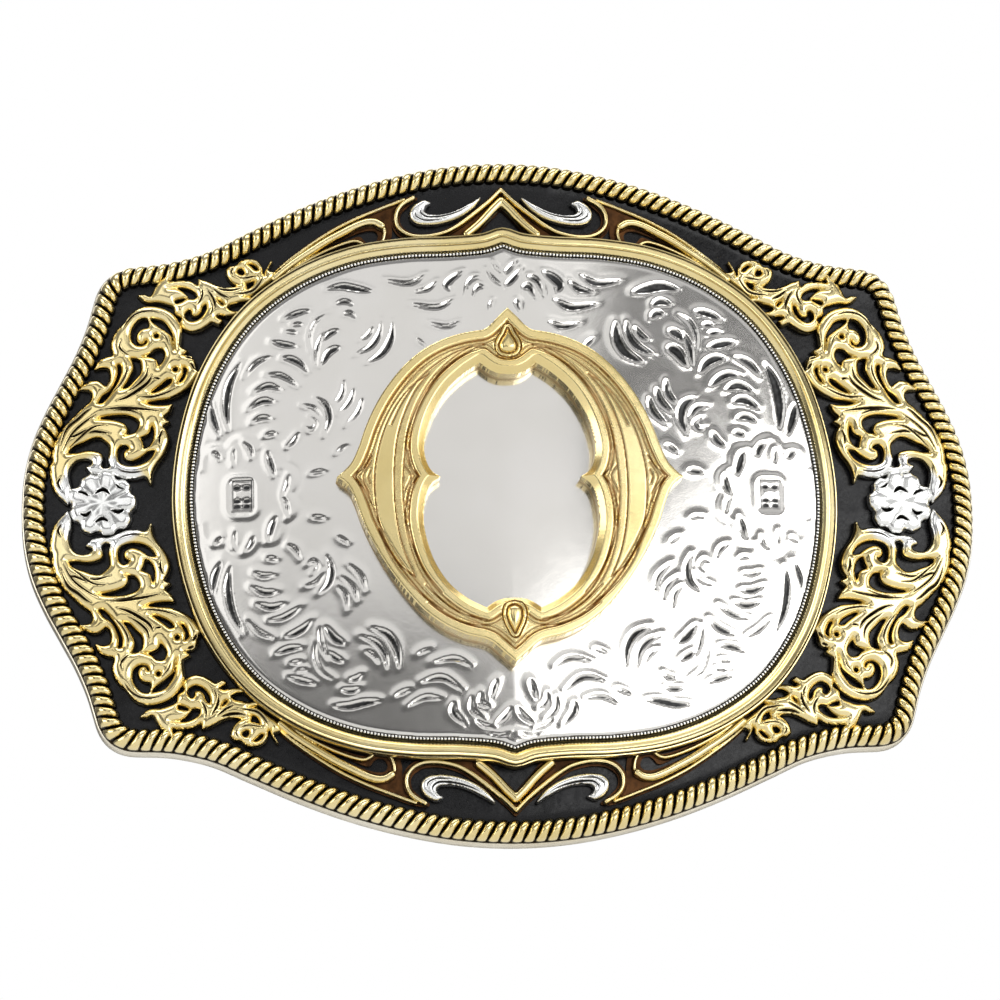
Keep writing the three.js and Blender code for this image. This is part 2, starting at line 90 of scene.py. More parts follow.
camera_data = bpy.data.cameras.new("photo_camera")
camera_data.lens = 162.8
camera_data.sensor_width = 36.0
camera_data.shift_x = -0.0044
camera_data.shift_y = 0.0057
camera_data.clip_start = 0.01
camera_data.clip_end = 20.0
camera = bpy.data.objects.new("photo_camera", camera_data)
axes = Matrix((image_right, image_up, toward)).transposed().to_4x4()
camera.matrix_world = Matrix.Translation(toward * CAMERA_DISTANCE) @ axes
bpy.context.scene.collection.objects.link(camera)
bpy.context.scene.camera = camera
bpy.context.scene.view_settings.view_transform = "Standard"

# ---------------------------------------------------------------- curves and grids


def segment_curve(p0, p1, p2, p3, steps):
    """A centripetal Catmull-Rom span from p1 to p2, without its last point."""
    t1 = max(np.linalg.norm(p1 - p0), 1e-6) ** 0.5
    t2 = t1 + max(np.linalg.norm(p2 - p1), 1e-6) ** 0.5
    t3 = t2 + max(np.linalg.norm(p3 - p2), 1e-6) ** 0.5
    t = np.linspace(t1, t2, steps, endpoint=False)[:, None]
    a1 = (t1 - t) / t1 * p0 + t / t1 * p1
    a2 = (t2 - t) / (t2 - t1) * p1 + (t - t1) / (t2 - t1) * p2
    a3 = (t3 - t) / (t3 - t2) * p2 + (t - t2) / (t3 - t2) * p3
    b1 = (t2 - t) / t2 * a1 + t / t2 * a2
    b2 = (t3 - t) / (t3 - t1) * a2 + (t - t1) / (t3 - t1) * a3
    return (t2 - t) / (t2 - t1) * b1 + (t - t1) / (t2 - t1) * b2


def open_curve(points, steps):
    """A smooth curve through the points, from the first to the last."""
    p = [np.array(q, float) for q in points]
    if len(p) == 2:
        return np.array(p)
    p = [2 * p[0] - p[1]] + p + [2 * p[-1] - p[-2]]
    spans = [segment_curve(*p[i:i + 4], steps) for i in range(len(p) - 3)]
    return np.vstack(spans + [p[-2][None]])


def smooth_runs(points, steps):
    """The smooth curves between sharp points. A sharp point is given twice."""
    runs = [[]]
    for i, point in enumerate(points):
        runs[-1].append(point)
        if i + 1 < len(points) and points[i + 1] == point:
            runs.append([])
    return [open_curve(run, steps) for run in runs if len(run) > 1]


def joined_up(line):
    """A loop with its first point repeated at its end."""
    return np.vstack([line, line[:1]])


def closed_curve(points, steps=6):
    """A smooth closed outline. A point given twice is a sharp tip or corner."""
    n = len(points)
    corners = [i for i in range(n) if points[i] == points[(i + 1) % n]]
    if not corners:
        p = [np.array(q, float) for q in points]
        spans = [segment_curve(*[p[(i + k) % n] for k in (-1, 0, 1, 2)], steps) for i in range(n)]
        return joined_up(np.vstack(spans))
    first = corners[0] + 1
    turned_round = points[first:] + points[:first]
    return joined_up(np.vstack([run[:-1] for run in smooth_runs(turned_round, steps)]))


def quarter_curve(points, steps, first=None, last=None):
    """An open curve whose end runs straight across the axis that it is mirrored in.

    first and last say which axis each end lies on: "u" or "v".
    """
    flip = {"u": (1, -1), "v": (-1, 1)}
    whole = list(points)
    if first:
        whole = [tuple(np.multiply(points[1], flip[first]))] + whole
    if last:
        whole = whole + [tuple(np.multiply(points[-2], flip[last]))]
    line = open_curve(whole, steps)
    start = steps if first else 0
    return line[start:len(line) - steps] if last else line[start:]


def arc(u, v, radius, start, end, steps):
    """Points along an arc, with its angles in degrees."""
    angles = np.linspace(math.radians(start), math.radians(end), steps)
    return [(u + radius * math.cos(a), v + radius * math.sin(a)) for a in angles]


def rounded_rectangle(half_width, half_height, radius, steps):
    """An anticlockwise rounded rectangle about the middle, with steps points to a corner."""
    line = []
    for right, up, start in ((1, 1, 0), (-1, 1, 90), (-1, -1, 180), (1, -1, 270)):
        u = right * (half_width - radius)
        v = up * (half_height - radius)
        line += arc(u, v, radius, start, start + 90, steps)
    return line


class Grid:
    """An even grid over an area in plan, with distances to lines measured on it."""

    MARGIN = 0.4

    def __init__(self, outline, step):
        low = outline.min(0) - self.MARGIN
        high = outline.max(0) + self.MARGIN
        count = np.ceil((high - low) / step).astype(int) + 1
        self.step = step
        self.low = low
        self.x = low[0] + step * np.arange(count[0])
        self.y = low[1] + step * np.arange(count[1])
        self.X, self.Y = np.meshgrid(self.x, self.y)

    def window(self, a, b, reach):
        """The rows and columns within reach of the segment from a to b."""
        low = (np.minimum(a, b) - reach - self.low) / self.step
        high = (np.maximum(a, b) + reach - self.low) / self.step
        i0 = max(int(low[0]), 0)
        j0 = max(int(low[1]), 0)
        i1 = min(int(high[0]) + 2, len(self.x))
        j1 = min(int(high[1]) + 2, len(self.y))
        return slice(j0, max(j1, j0)), slice(i0, max(i1, i0))

    def across(self, a, b, rows, columns):
        """The shortest way from the segment to each point of a window, as u and v."""
        x = self.X[rows, columns] - a[0]
        y = self.Y[rows, columns] - a[1]
        along = b - a
        t = (x * along[0] + y * along[1]) / max(float(along @ along), 1e-12)
        t = np.clip(t, 0.0, 1.0)
        return x - t * along[0], y - t * along[1]

    def distance(self, lines, reach):
        """Distance to the nearest line, up to reach."""
        best = np.full(self.X.shape, reach)
        for line in lines:
            for a, b in zip(line[:-1], line[1:]):
                rows, columns = self.window(a, b, reach)
                gap = np.hypot(*self.across(a, b, rows, columns))
                best[rows, columns] = np.minimum(best[rows, columns], gap)
        return best

    def inside(self, lines):
        """True where a point lies within an odd number of the closed lines."""
        crossings = np.zeros(self.X.shape, int)
        for line in lines:
            for a, b in zip(line[:-1], line[1:]):
                low, high = (a, b) if a[1] < b[1] else (b, a)
                j0 = int(np.ceil((low[1] - self.low[1]) / self.step))
                j1 = int(np.ceil((high[1] - self.low[1]) / self.step))
                for j in range(j0, j1):
                    part = (self.y[j] - low[1]) / (high[1] - low[1])
                    x = low[0] + part * (high[0] - low[0])
                    i = int(np.ceil((x - self.low[0]) / self.step))
                    crossings[j, min(max(i, 0), len(self.x) - 1)] += 1
        return np.cumsum(crossings, axis=1) % 2 == 1

    def signed(self, lines, reach):
        """Distance to the edge of the area inside the lines, less than zero outside it."""
        gap = self.distance(lines, reach)
        return np.where(self.inside(lines), gap, -gap)

    def cut_strokes(self, strokes, depth_per_width=0.5, lean=0.0):
        """Depth of tapered V cuts, and the distance past their edges.

        A stroke is (points, full width), widest at its middle. With lean, a cut is steeper on its
        lower right side, and the distance past it counts for more there.
        """
        depth = np.zeros(self.X.shape)
        beyond = np.full(self.X.shape, 1.0)
        for points, width in strokes:
            line = open_curve(points, 6)
            if len(points) == 2:
                line = np.linspace(line[0], line[1], 9)
            count = len(line) - 1
            for k, (a, b) in enumerate(zip(line[:-1], line[1:])):
                middle = (k + 0.5) / count
                half = 0.5 * width * (0.15 + 0.85 * math.sin(math.pi * middle) ** 0.7)
                rows, columns = self.window(a, b, half * (1 + lean) + 0.6)
                u, v = self.across(a, b, rows, columns)
                gap = np.hypot(u, v)
                side = (0.6 * u - 0.8 * v) / np.maximum(gap, 1e-9)
                reach = half * (1 - lean * side)
                cut = np.clip(1 - gap / reach, 0.0, None) * half * 2 * depth_per_width
                depth[rows, columns] = np.maximum(depth[rows, columns], cut)
                past = np.clip(gap - reach, 0.0, None) + lean * np.clip(side, 0.0, 1.0)
                beyond[rows, columns] = np.minimum(beyond[rows, columns], past)
        return depth, beyond


def march(grid, field, channels):
    """Cuts the grid at the edge of the area where field is above zero.

    Returns points, the field there, the channels there, faces, and the edge as pairs of points
    with the area on their left.
    """
    small = 0.04 * grid.step
    field = np.where(np.abs(field) < small, np.where(field > 0, small, -small), field)
    inside = field > 0
    corner_id = np.cumsum(inside.ravel()).reshape(inside.shape) - 1
    total = int(inside.sum())
    across = inside[:, :-1] != inside[:, 1:]
    across_id = np.cumsum(across.ravel()).reshape(across.shape) - 1 + total
    total += int(across.sum())
    along = inside[:-1, :] != inside[1:, :]
    along_id = np.cumsum(along.ravel()).reshape(along.shape) - 1 + total

    def gather(values):
        """The values at the corners inside the area, then where its edge crosses the grid."""
        left, right = values[:, :-1][across], values[:, 1:][across]
        low, high = values[:-1, :][along], values[1:, :][along]
        return np.concatenate([
            values[inside],
            left + t_across * (right - left),
            low + t_along * (high - low),
        ])

    t_across = field[:, :-1][across] / (field[:, :-1][across] - field[:, 1:][across])
    t_along = field[:-1, :][along] / (field[:-1, :][along] - field[1:, :][along])
    x = gather(grid.X)
    y = gather(grid.Y)
    depth = gather(field)
    values = [gather(channel) for channel in channels]

    corners = [inside[:-1, :-1], inside[:-1, 1:], inside[1:, 1:], inside[1:, :-1]]
    corner_ids = [corner_id[:-1, :-1], corner_id[:-1, 1:], corner_id[1:, 1:], corner_id[1:, :-1]]
    edge_ids = [across_id[:-1, :], along_id[:, 1:], across_id[1:, :], along_id[:, :-1]]
    case = sum(c.astype(int) << k for k, c in enumerate(corners))
    faces = []
    edges = []
    for number in range(1, 16):
        cells = case == number
        if not cells.any():
            continue
        columns = []
        leaves = []
        for k in range(4):
            here = number >> k & 1
            after = number >> (k + 1) % 4 & 1
            if here:
                columns.append(corner_ids[k][cells])
            if here != after:
                if here:
                    leaves.append(len(columns))
                columns.append(edge_ids[k][cells])
        faces.extend(np.stack(columns, 1).tolist())
        for start in leaves:
            end = (start + 1) % len(columns)
            edges.extend(zip(columns[start].tolist(), columns[end].tolist()))
    return x, y, depth, values, faces, edges


def edge_loops(edges):
    """The edge pairs joined into closed loops of point numbers."""
    following = {}
    for a, b in edges:
        following.setdefault(a, []).append(b)
    loops = []
    while following:
        start = next(iter(following))
        loop = [start]
        here = start
        while True:
            after = following[here].pop()
            if not following[here]:
                del following[here]
            if after == start or after not in following:
                break
            loop.append(after)
            here = after
        if len(loop) > 2:
            loops.append(loop)
    return loops


# ---------------------------------------------------------------- meshes


def make_object(name, points, faces, patina_and_shade, body, material, nodes, sharp=55.0, silvering=None):
    """A piece in metres, riding on its body and standing for its CAD nodes."""
    mesh = bpy.data.meshes.new(name)
    mesh.from_pydata((np.asarray(points) * MM).tolist(), [], faces)
    # Per-point darkening read by the metal materials: antiquing in hollows plus painted shade.
    attribute = mesh.attributes.new("patina_and_shade", "FLOAT", "POINT")
    values = np.zeros(len(points), np.float32)
    values[:] = patina_and_shade
    attribute.data.foreach_set("value", values)
    if silvering is not None:
        mesh.attributes.new("silvering", "FLOAT", "POINT").data.foreach_set("value", silvering)
    mesh.validate()
    mesh.shade_smooth()
    mesh.set_sharp_from_angle(angle=math.radians(sharp))
    mesh.materials.append(material)
    piece = bpy.data.objects.new(name, mesh)
    bpy.context.scene.collection.objects.link(piece)
    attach(piece, body)
    if nodes:
        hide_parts(*nodes)


def bent(u, v, h):
    """Plan and height to the object's axes, in millimetres."""
    return np.stack([u, u * u / (2 * BEND_RADIUS) - h, v], -1)


def level_row(line, h):
    """A loop in plan at one height, bent with the plate."""
    return bent(line[:, 0], line[:, 1], np.full(len(line), h))


def flat_faces(x, y, loops):
    """Triangles that fill loops of point numbers, anticlockwise in plan."""
    flat = [[Vector((x[i], y[i], 0.0)) for i in loop] for loop in loops]
    order = [i for loop in loops for i in loop]
    faces = []
    for corners in tessellate_polygon(flat):
        a, b, c = (order[k] for k in corners)
        turn = (x[b] - x[a]) * (y[c] - y[a]) - (x[c] - x[a]) * (y[b] - y[a])
        if abs(turn) > 1e-9:
            faces.append([a, b, c] if turn > 0 else [a, c, b])
    return faces


def relief_solid(grid, field, channels, profile, base, wall_shade=(0.35, 1.0)):
    """A closed solid over the area where field > 0.

    profile(u, v, distance, *channels) gives height and darkening (antiquing plus painted shade).
    Returns plan points, heights, darkening values and faces.
    """
    x, y, depth, values, faces, edges = march(grid, field, channels)
    distance = np.clip(depth, 0.0, None)
    height, patina_and_shade = profile(x, y, distance, *values)
    height = np.broadcast_to(height, x.shape).copy()
    patina_and_shade = np.broadcast_to(patina_and_shade, x.shape).copy()
    rim = np.unique(np.array(edges).ravel())
    lower = np.full(len(x), -1)
    lower[rim] = len(x) + np.arange(len(rim))
    for a, b in edges:
        faces.append([b, a, int(lower[a]), int(lower[b])])
    # Painted shade: the top edge of each wall and its foot are darkened as if shaded where the piece
    # stands on the enamel.
    patina_and_shade[rim] = np.maximum(patina_and_shade[rim], wall_shade[0])
    plan_x = np.concatenate([x, x[rim]])
    plan_y = np.concatenate([y, y[rim]])
    loops = [[int(lower[i]) for i in loop] for loop in edge_loops(edges)]
    faces += [face[::-1] for face in flat_faces(plan_x, plan_y, loops)]
    heights = np.concatenate([height, np.full(len(rim), base)])
    patina_and_shade_values = np.concatenate([patina_and_shade, np.full(len(rim), wall_shade[1])])
    return plan_x, plan_y, heights, patina_and_shade_values, faces


def place_relief(name, solid, right, up, material, nodes, silvering=None):
    """One of a relief's mirrored copies."""
    u, v, h, patina_and_shade, faces = solid
    if right * up < 0:
        faces = [face[::-1] for face in faces]
    points = bent(u * right, v * up, h)
    make_object(name, points, faces, patina_and_shade, "buckle", material, nodes, silvering=silvering)


def loft(rows, closed_rows=False):
    """Skins rows of matching closed loops, each an (n, 3) array, with a face over each end.

    With closed_rows the last row joins the first, and there are no ends.
    """
    count = len(rows[0])
    points = np.vstack(rows)
    faces = []
    total = len(rows) if closed_rows else len(rows) - 1
    for r in range(total):
        a = r * count
        b = (r + 1) % len(rows) * count
        for i in range(count):
            j = (i + 1) % count
            faces.append([a + i, a + j, b + j, b + i])
    if not closed_rows:
        faces.append(list(range(count))[::-1])
        faces.append([(len(rows) - 1) * count + i for i in range(count)])
    return points, faces


AXIS = 0.001    # the radius where a turned profile meets its axis


def revolve(profile, sides):
    """A turned piece about its own Z from (radius, height) pairs, bottom first, with closed ends."""
    rows = []
    for radius, height in profile:
        angle = 2 * np.pi * np.arange(sides) / sides
        row = [radius * np.cos(angle), radius * np.sin(angle), np.full(sides, height)]
        rows.append(np.stack(row, -1))
    return loft(rows)


def outward(line):
    """Unit vectors that point out of a closed anticlockwise loop, one for each point."""
    along = np.roll(line, -1, 0) - np.roll(line, 1, 0)
    along /= np.linalg.norm(along, axis=1)[:, None]
    return np.stack([along[:, 1], -along[:, 0]], -1)


def offset_line(line, distance):
    """A closed anticlockwise loop of points moved outwards by distance."""
    return line + outward(line) * distance


def even_points(loop, count):
    """Points evenly spaced round a closed loop."""
    line = joined_up(loop)
    lengths = np.concatenate([[0.0], np.cumsum(np.linalg.norm(np.diff(line, axis=0), axis=1))])
    at = np.linspace(0.0, lengths[-1], count, endpoint=False)
    return np.stack([np.interp(at, lengths, line[:, k]) for k in range(2)], -1)


def radius_by_angle(loop):
    """A function from an angle about the middle to the loop's distance from it there."""
    angles = np.arctan2(loop[:, 1], loop[:, 0])
    order = np.argsort(angles)
    radii = np.hypot(loop[:, 0], loop[:, 1])[order]
    return lambda angle: np.interp(angle, angles[order], radii, period=2 * math.pi)


def mirror_quarter(quarter):
    """The upper right quarter, from the top middle to the right middle, made a whole loop."""
    right = np.vstack([quarter, quarter[-2::-1] * [1, -1]])
    whole = np.vstack([right, right[-2:0:-1] * [-1, 1]])
    return whole[::-1]


# ---------------------------------------------------------------- materials


class Nodes:
    """A small helper that adds and links shader nodes."""

    def __init__(self, tree):
        self.tree = tree

    def add(self, kind, **settings):
        node = self.tree.nodes.new(kind)
        for key, value in settings.items():
            setattr(node, key, value)
        return node

    def link(self, source, target):
        self.tree.links.new(source, target)

    def noise(self, scale, detail=3.0, roughness=0.5, stretch=None):
        node = self.add("ShaderNodeTexNoise")
        node.inputs["Scale"].default_value = scale
        node.inputs["Detail"].default_value = detail
        node.inputs["Roughness"].default_value = roughness
        source = self.place
        if stretch:
            mapping = self.add("ShaderNodeMapping")
            mapping.inputs["Scale"].default_value = stretch
            self.link(self.place, mapping.inputs["Vector"])
            source = mapping.outputs["Vector"]
        self.link(source, node.inputs["Vector"])
        return node.outputs["Fac"]

    def math(self, operation, a, b, clamp=False):
        node = self.add("ShaderNodeMath", operation=operation, use_clamp=clamp)
        for socket, value in zip(node.inputs, (a, b)):
            if isinstance(value, (int, float)):
                socket.default_value = value
            else:
                self.link(value, socket)
        return node.outputs[0]

    def mix(self, factor, a, b):
        node = self.add("ShaderNodeMix", data_type="RGBA")
        self.link(factor, node.inputs[0])
        self.link(a, node.inputs[6])
        self.link(b, node.inputs[7])
        return node.outputs[2]

    def ramp(self, factor, stops):
        node = self.add("ShaderNodeValToRGB")
        elements = node.color_ramp.elements
        while len(elements) < len(stops):
            elements.new(0.5)
        for element, (position, value) in zip(elements, stops):
            element.position = position
            if isinstance(value, (int, float)):
                value = (value, value, value)
            element.color = (*value, 1.0)
        self.link(factor, node.inputs["Fac"])
        return node.outputs["Color"]

    def bump(self, height, strength, distance, after=None):
        node = self.add("ShaderNodeBump")
        node.inputs["Strength"].default_value = strength
        node.inputs["Distance"].default_value = distance
        self.link(height, node.inputs["Height"])
        if after is not None:
            self.link(after, node.inputs["Normal"])
        return node.outputs["Normal"]


class MaterialNodes(Nodes):
    """The nodes of a new material, with its shader and the place on the object."""

    def __init__(self, name):
        self.material = bpy.data.materials.new(name)
        self.material.use_nodes = True
        super().__init__(self.material.node_tree)
        self.shader = self.tree.nodes["Principled BSDF"]
        self.place = self.add("ShaderNodeTexCoord").outputs["Object"]

    def attribute(self, name):
        return self.add("ShaderNodeAttribute", attribute_name=name).outputs["Fac"]


def plated_metal(name, tones, grooves, roughness, grain=0.2, scratch=0.0, silvered=None):
    """Plated metal, darkened where a piece's darkening value is high: antiquing in its hollows, and
    painted shade in grooves, gaps, at walls and under edges.

    tones are three colours from darker to lighter, spread by broad noise; grooves are the colours of
    the antiquing and painted shade. silvered is the two colours that the metal turns to where a
    piece's silvering value is high.
    """
    n = MaterialNodes(name)
    n.shader.inputs["Metallic"].default_value = 1.0
    patina_and_shade = n.attribute("patina_and_shade")
    patches = n.noise(900.0, 4.0, 0.6)
    speckle = n.noise(5200.0, 3.0, 0.6)
    broad = n.noise(110.0, 3.0, 0.55)
    uneven = n.math("MULTIPLY", n.math("SUBTRACT", patches, 0.5), 0.30)
    fine = n.math("MULTIPLY", n.math("SUBTRACT", speckle, 0.5), 0.20)
    depth = n.math("ADD", n.math("ADD", patina_and_shade, uneven), fine, clamp=True)
    colour = n.ramp(broad, [(0.32, tones[0]), (0.5, tones[1]), (0.68, tones[2])])
    if silvered:
        amount = n.math("ADD", n.attribute("silvering"), uneven, clamp=True)
        worn = n.ramp(amount, [(0.3, 0.0), (0.75, 1.0)])
        colour = n.mix(worn, colour, n.ramp(broad, [(0.3, silvered[0]), (0.7, silvered[1])]))
    # Painted shade with antiquing: the grooves colour is mixed in by each point's darkening value, so
    # hollows, walls and gaps look shaded.
    dark = n.ramp(patches, [(0.35, grooves[0]), (0.65, grooves[1])])
    amount = n.ramp(depth, [(0.36, 0.0), (0.55, 0.6), (0.8, 1.0)])
    n.link(n.mix(amount, colour, dark), n.shader.inputs["Base Color"])
    shine = n.ramp(n.math("ADD", n.math("MULTIPLY", patches, 0.5), n.math("MULTIPLY", broad, 0.5)),
                   [(0.35, roughness[0]), (0.65, roughness[1])])
    rough = n.math("ADD", shine, n.math("MULTIPLY", amount, 0.3), clamp=True)
    n.link(rough, n.shader.inputs["Roughness"])
    normal = n.bump(speckle, grain, 0.00002)
    normal = n.bump(patches, grain, 0.00006, normal)
    if scratch:
        marks = n.noise(160.0, 6.0, 0.75, stretch=(1.0, 1.0, 14.0))
        normal = n.bump(marks, scratch, 0.00004, normal)
    n.link(normal, n.shader.inputs["Normal"])
    return n.material


def black_enamel():
    """Glossy black enamel, a little cloudy, with fine specks."""
    n = MaterialNodes("black_enamel")
    n.shader.inputs["Metallic"].default_value = 0.0
    n.shader.inputs["IOR"].default_value = 1.5
    n.shader.inputs["Specular IOR Level"].default_value = 0.26
    cloud = n.noise(240.0, 3.0)
    specks = n.noise(3800.0, 2.0)
    n.link(n.ramp(cloud, [(0.3, (0.004, 0.004, 0.0045)), (0.7, (0.009, 0.009, 0.0105))]),
           n.shader.inputs["Base Color"])
    n.link(n.ramp(specks, [(0.35, 0.20), (0.7, 0.36)]), n.shader.inputs["Roughness"])
    n.link(n.bump(cloud, 0.5, 0.0003, n.bump(specks, 0.15, 0.00003)), n.shader.inputs["Normal"])
    return n.material


LEMON = ((0.80, 0.65, 0.31), (0.87, 0.72, 0.36), (0.92, 0.79, 0.45))
GROOVE_PATINA_AND_SHADE = ((0.014, 0.010, 0.006), (0.050, 0.034, 0.016))
SILVER_TONES = ((0.84, 0.84, 0.82), (0.90, 0.90, 0.88), (0.93, 0.93, 0.92))
GOLD_SHINE = (0.14, 0.24)
GOLD = plated_metal("gold", LEMON, GROOVE_PATINA_AND_SHADE, GOLD_SHINE)
SCROLL_GOLD = plated_metal("scroll_gold", LEMON, GROOVE_PATINA_AND_SHADE, GOLD_SHINE,
                           silvered=SILVER_TONES[1:])
ROPE_GOLD = plated_metal("rope_gold", LEMON, ((0.005, 0.004, 0.003), (0.018, 0.013, 0.008)),
                         GOLD_SHINE)
RIBBON_GOLD = plated_metal("ribbon_gold", LEMON, ((0.040, 0.020, 0.010), (0.125, 0.056, 0.022)),
                           GOLD_SHINE)
RING_GOLD = plated_metal("ring_gold", ((0.80, 0.64, 0.29), (0.85, 0.69, 0.33), (0.89, 0.74, 0.39)),
                         ((0.17, 0.080, 0.024), (0.40, 0.215, 0.080)), (0.18, 0.27), grain=0.12)
AGED_GOLD = plated_metal("aged_gold", ((0.72, 0.65, 0.50), (0.79, 0.73, 0.59), (0.85, 0.80, 0.68)),
                         GROOVE_PATINA_AND_SHADE, (0.30, 0.40), scratch=0.15)
SILVER = plated_metal("silver", SILVER_TONES, ((0.015, 0.014, 0.013), (0.05, 0.047, 0.042)),
                      (0.20, 0.30), grain=0.12)
PANEL_TONES = ((0.74, 0.72, 0.685), (0.76, 0.74, 0.705), (0.78, 0.76, 0.73))
PANEL_SILVER = plated_metal("panel_silver", PANEL_TONES,
                            ((0.02, 0.02, 0.02), (0.07, 0.07, 0.07)), (0.12, 0.15), grain=0.05)
NICKEL = plated_metal("nickel", ((0.55, 0.53, 0.49), (0.62, 0.60, 0.55), (0.68, 0.66, 0.61)),
                      ((0.04, 0.035, 0.03), (0.10, 0.09, 0.075)), (0.26, 0.38), scratch=0.2)
ENAMEL = black_enamel()

# ---------------------------------------------------------------- the border, plate and enamel

# Middle line of the rope border: a long bowed top, a tight corner and a waisted end.
ROPE_TOP = [
    (0, 33.4), (5, 33.1), (10, 32.2), (15, 30.8), (20, 28.9), (25, 26.6), (29, 24.75),
    (33, 23.75), (36.6, 23.45),
]
ROPE_CORNER = (38.7, 23.3)
ROPE_END = [
    (39.3, 21.2), (40.2, 18.1), (41.4, 15.2), (42.9, 12.3), (44.4, 9.4), (45.6, 6.5),
    (46.3, 3.4), (46.5, 0),
]
ROPE_RADIUS = 1.2
ROPE_LOBES = 228
ROPE_BACK = ENAMEL_FRONT - 0.45


def rope_middle_line():
    """The line that the rope's beads sit on, with its corners rounded."""
    top = quarter_curve(ROPE_TOP, 12, first="v")
    end = quarter_curve(ROPE_END, 12, last="u")
    t = np.linspace(0.0, 1.0, 14)[1:-1, None]
    corner = (1 - t) ** 2 * top[-1] + 2 * t * (1 - t) * np.array(ROPE_CORNER) + t ** 2 * end[0]
    return mirror_quarter(np.vstack([top, corner, end]))


rope_line = rope_middle_line()

BEAD_LEAN = 0.45    # how far a bead's foot trails its head, in beads
BEAD_OUT = 1.1      # reach of a bead from the middle line, outwards and inwards
BEAD_IN = 1.12
BEAD_STEPS = 14     # mesh steps along a bead
BEAD_ROWS = 20      # mesh rows across the rope


def rope_edge():
    """The rope border: rounded beads that lean along the edge, with painted shade in the gaps between
    them and along the foot and hem.
    """
    count = ROPE_LOBES * BEAD_STEPS
    middle = even_points(rope_line[::-1], count)
    along = np.roll(middle, -1, 0) - np.roll(middle, 1, 0)
    for _ in range(3):
        along = np.roll(along, 1, 0) + along + np.roll(along, -1, 0)
    along /= np.linalg.norm(along, axis=1)[:, None]
    outside = np.stack([-along[:, 1], along[:, 0]], -1)
    height = ROPE_TOP_HEIGHT - ROPE_BACK
    position = np.arange(count) / BEAD_STEPS
    rows = []
    patina_and_shade = []
    for k in range(BEAD_ROWS):
        angle = math.pi * k / (BEAD_ROWS - 1)
        side = math.cos(angle)
        rise = math.sin(angle)
        phase = position - BEAD_LEAN * side
        local = 2 * (phase - np.floor(phase)) - 1
        body = np.sqrt(np.clip(1 - (np.abs(local) / 0.90) ** 2.2, 0.0, 1.0))
        swell = 0.55 + 0.45 * body
        reach = (BEAD_OUT if side > 0 else BEAD_IN) * (0.84 + 0.16 * body)
        line = middle + outside * (side * reach)[:, None]
        h = ROPE_BACK + height * rise ** 0.8 * swell
        rows.append(bent(line[:, 0], line[:, 1], h))
        # Painted shade: each bead darkens towards the gaps beside it, the inner foot and the outer
        # hem, where shade falls.
        gap = np.clip((np.abs(local) - 0.62) / 0.24, 0.0, 1.0)
        foot = np.clip((-side - 0.72) / 0.20, 0.0, 1.0)
        hem = np.clip((side - 0.96) / 0.04, 0.0, 1.0)
        patina_and_shade.append(np.maximum(gap, max(foot, hem)))
    points, faces = loft(rows, closed_rows=True)
    make_object("rope_border", points, faces, np.concatenate(patina_and_shade), "buckle",
                ROPE_GOLD, ["rope_edge"], sharp=60)


rope_edge()

PLATE_DRAFT = 0.12    # how far the plate's foot stands out from its front edge


def plate():
    """The plate: a flat back with a softened edge, and a drafted pale side."""
    line = even_points(rope_line, 720)
    front = ROPE_BACK - 0.05
    back = PLATE_BACK
    # Distance outside the rope's foot and height, from the flat back to the hidden front.
    section = [
        (-3.0, back), (-0.5, back), (PLATE_DRAFT - 0.25, back), (PLATE_DRAFT - 0.06, back + 0.08),
        (PLATE_DRAFT, back + 0.28), (0.10, front - 0.25), (0.04, front - 0.08), (-0.12, front),
        (-2.0, front),
    ]
    edge = offset_line(line, ROPE_RADIUS)
    insets = (0.25, 0.5, 0.75, 0.9)
    rows = [level_row(edge * inset, back) for inset in insets]
    dark = [0.0 for inset in insets]
    # Painted shade: rows near the front, hidden under the rope and enamel, are darkened as if in
    # shade.
    for out, h in section:
        rows.append(level_row(offset_line(line, ROPE_RADIUS + out), h))
        dark.append(0.9 if h > front - 0.05 else 0.0)
    for inset in insets[::-1]:
        rows.append(level_row(edge * inset, front))
        dark.append(1.0)
    points, faces = loft(rows)
    make_object("plate", points, [f[::-1] for f in faces], np.repeat(dark, len(line)), "buckle",
                AGED_GOLD, ["base_plate"], sharp=40)


plate()

# Edge of the silver panel, with a low peak at top and bottom.
PANEL_QUARTER = [
    (0, 25.4), (1.6, 24.85), (5, 24.5), (10, 24.3), (15, 23.5), (20, 21.5), (24.6, 18.1),
    (28.1, 13.1), (30.2, 7.2), (31.1, 0),
]
panel_line = mirror_quarter(quarter_curve(PANEL_QUARTER, 24, last="u"))


def panel_offset(distance, count):
    """Even points along a line this far outside the panel's edge."""
    return even_points(offset_line(panel_line, distance), count)


def enamel_field():
    """The black field, drawn up a little where it meets the rope and the bezel."""
    outer = even_points(rope_line, 480)
    angles = np.arctan2(outer[:, 1], outer[:, 0])
    radius = radius_by_angle(panel_offset(0.9, 2400))(angles)
    inner = np.stack([radius * np.cos(angles), radius * np.sin(angles)], -1)
    outer = offset_line(outer, -0.7)
    rows = []
    steps = 24
    for k in range(steps + 1):
        t = k / steps
        p = inner + (outer - inner) * t
        lift = 0.12 * (math.exp(-((1 - t) * 14) ** 2) + math.exp(-(t * 14) ** 2))
        rows.append(level_row(p, ENAMEL_FRONT - 0.06 + lift))
    for p in (outer, inner):
        rows.append(level_row(p, ROPE_BACK - 0.1))
    points, faces = loft(rows, closed_rows=True)
    make_object("enamel_fill", points, [f[::-1] for f in faces], 0.0, "buckle",
                ENAMEL, ["enamel_field"], sharp=60)


enamel_field()


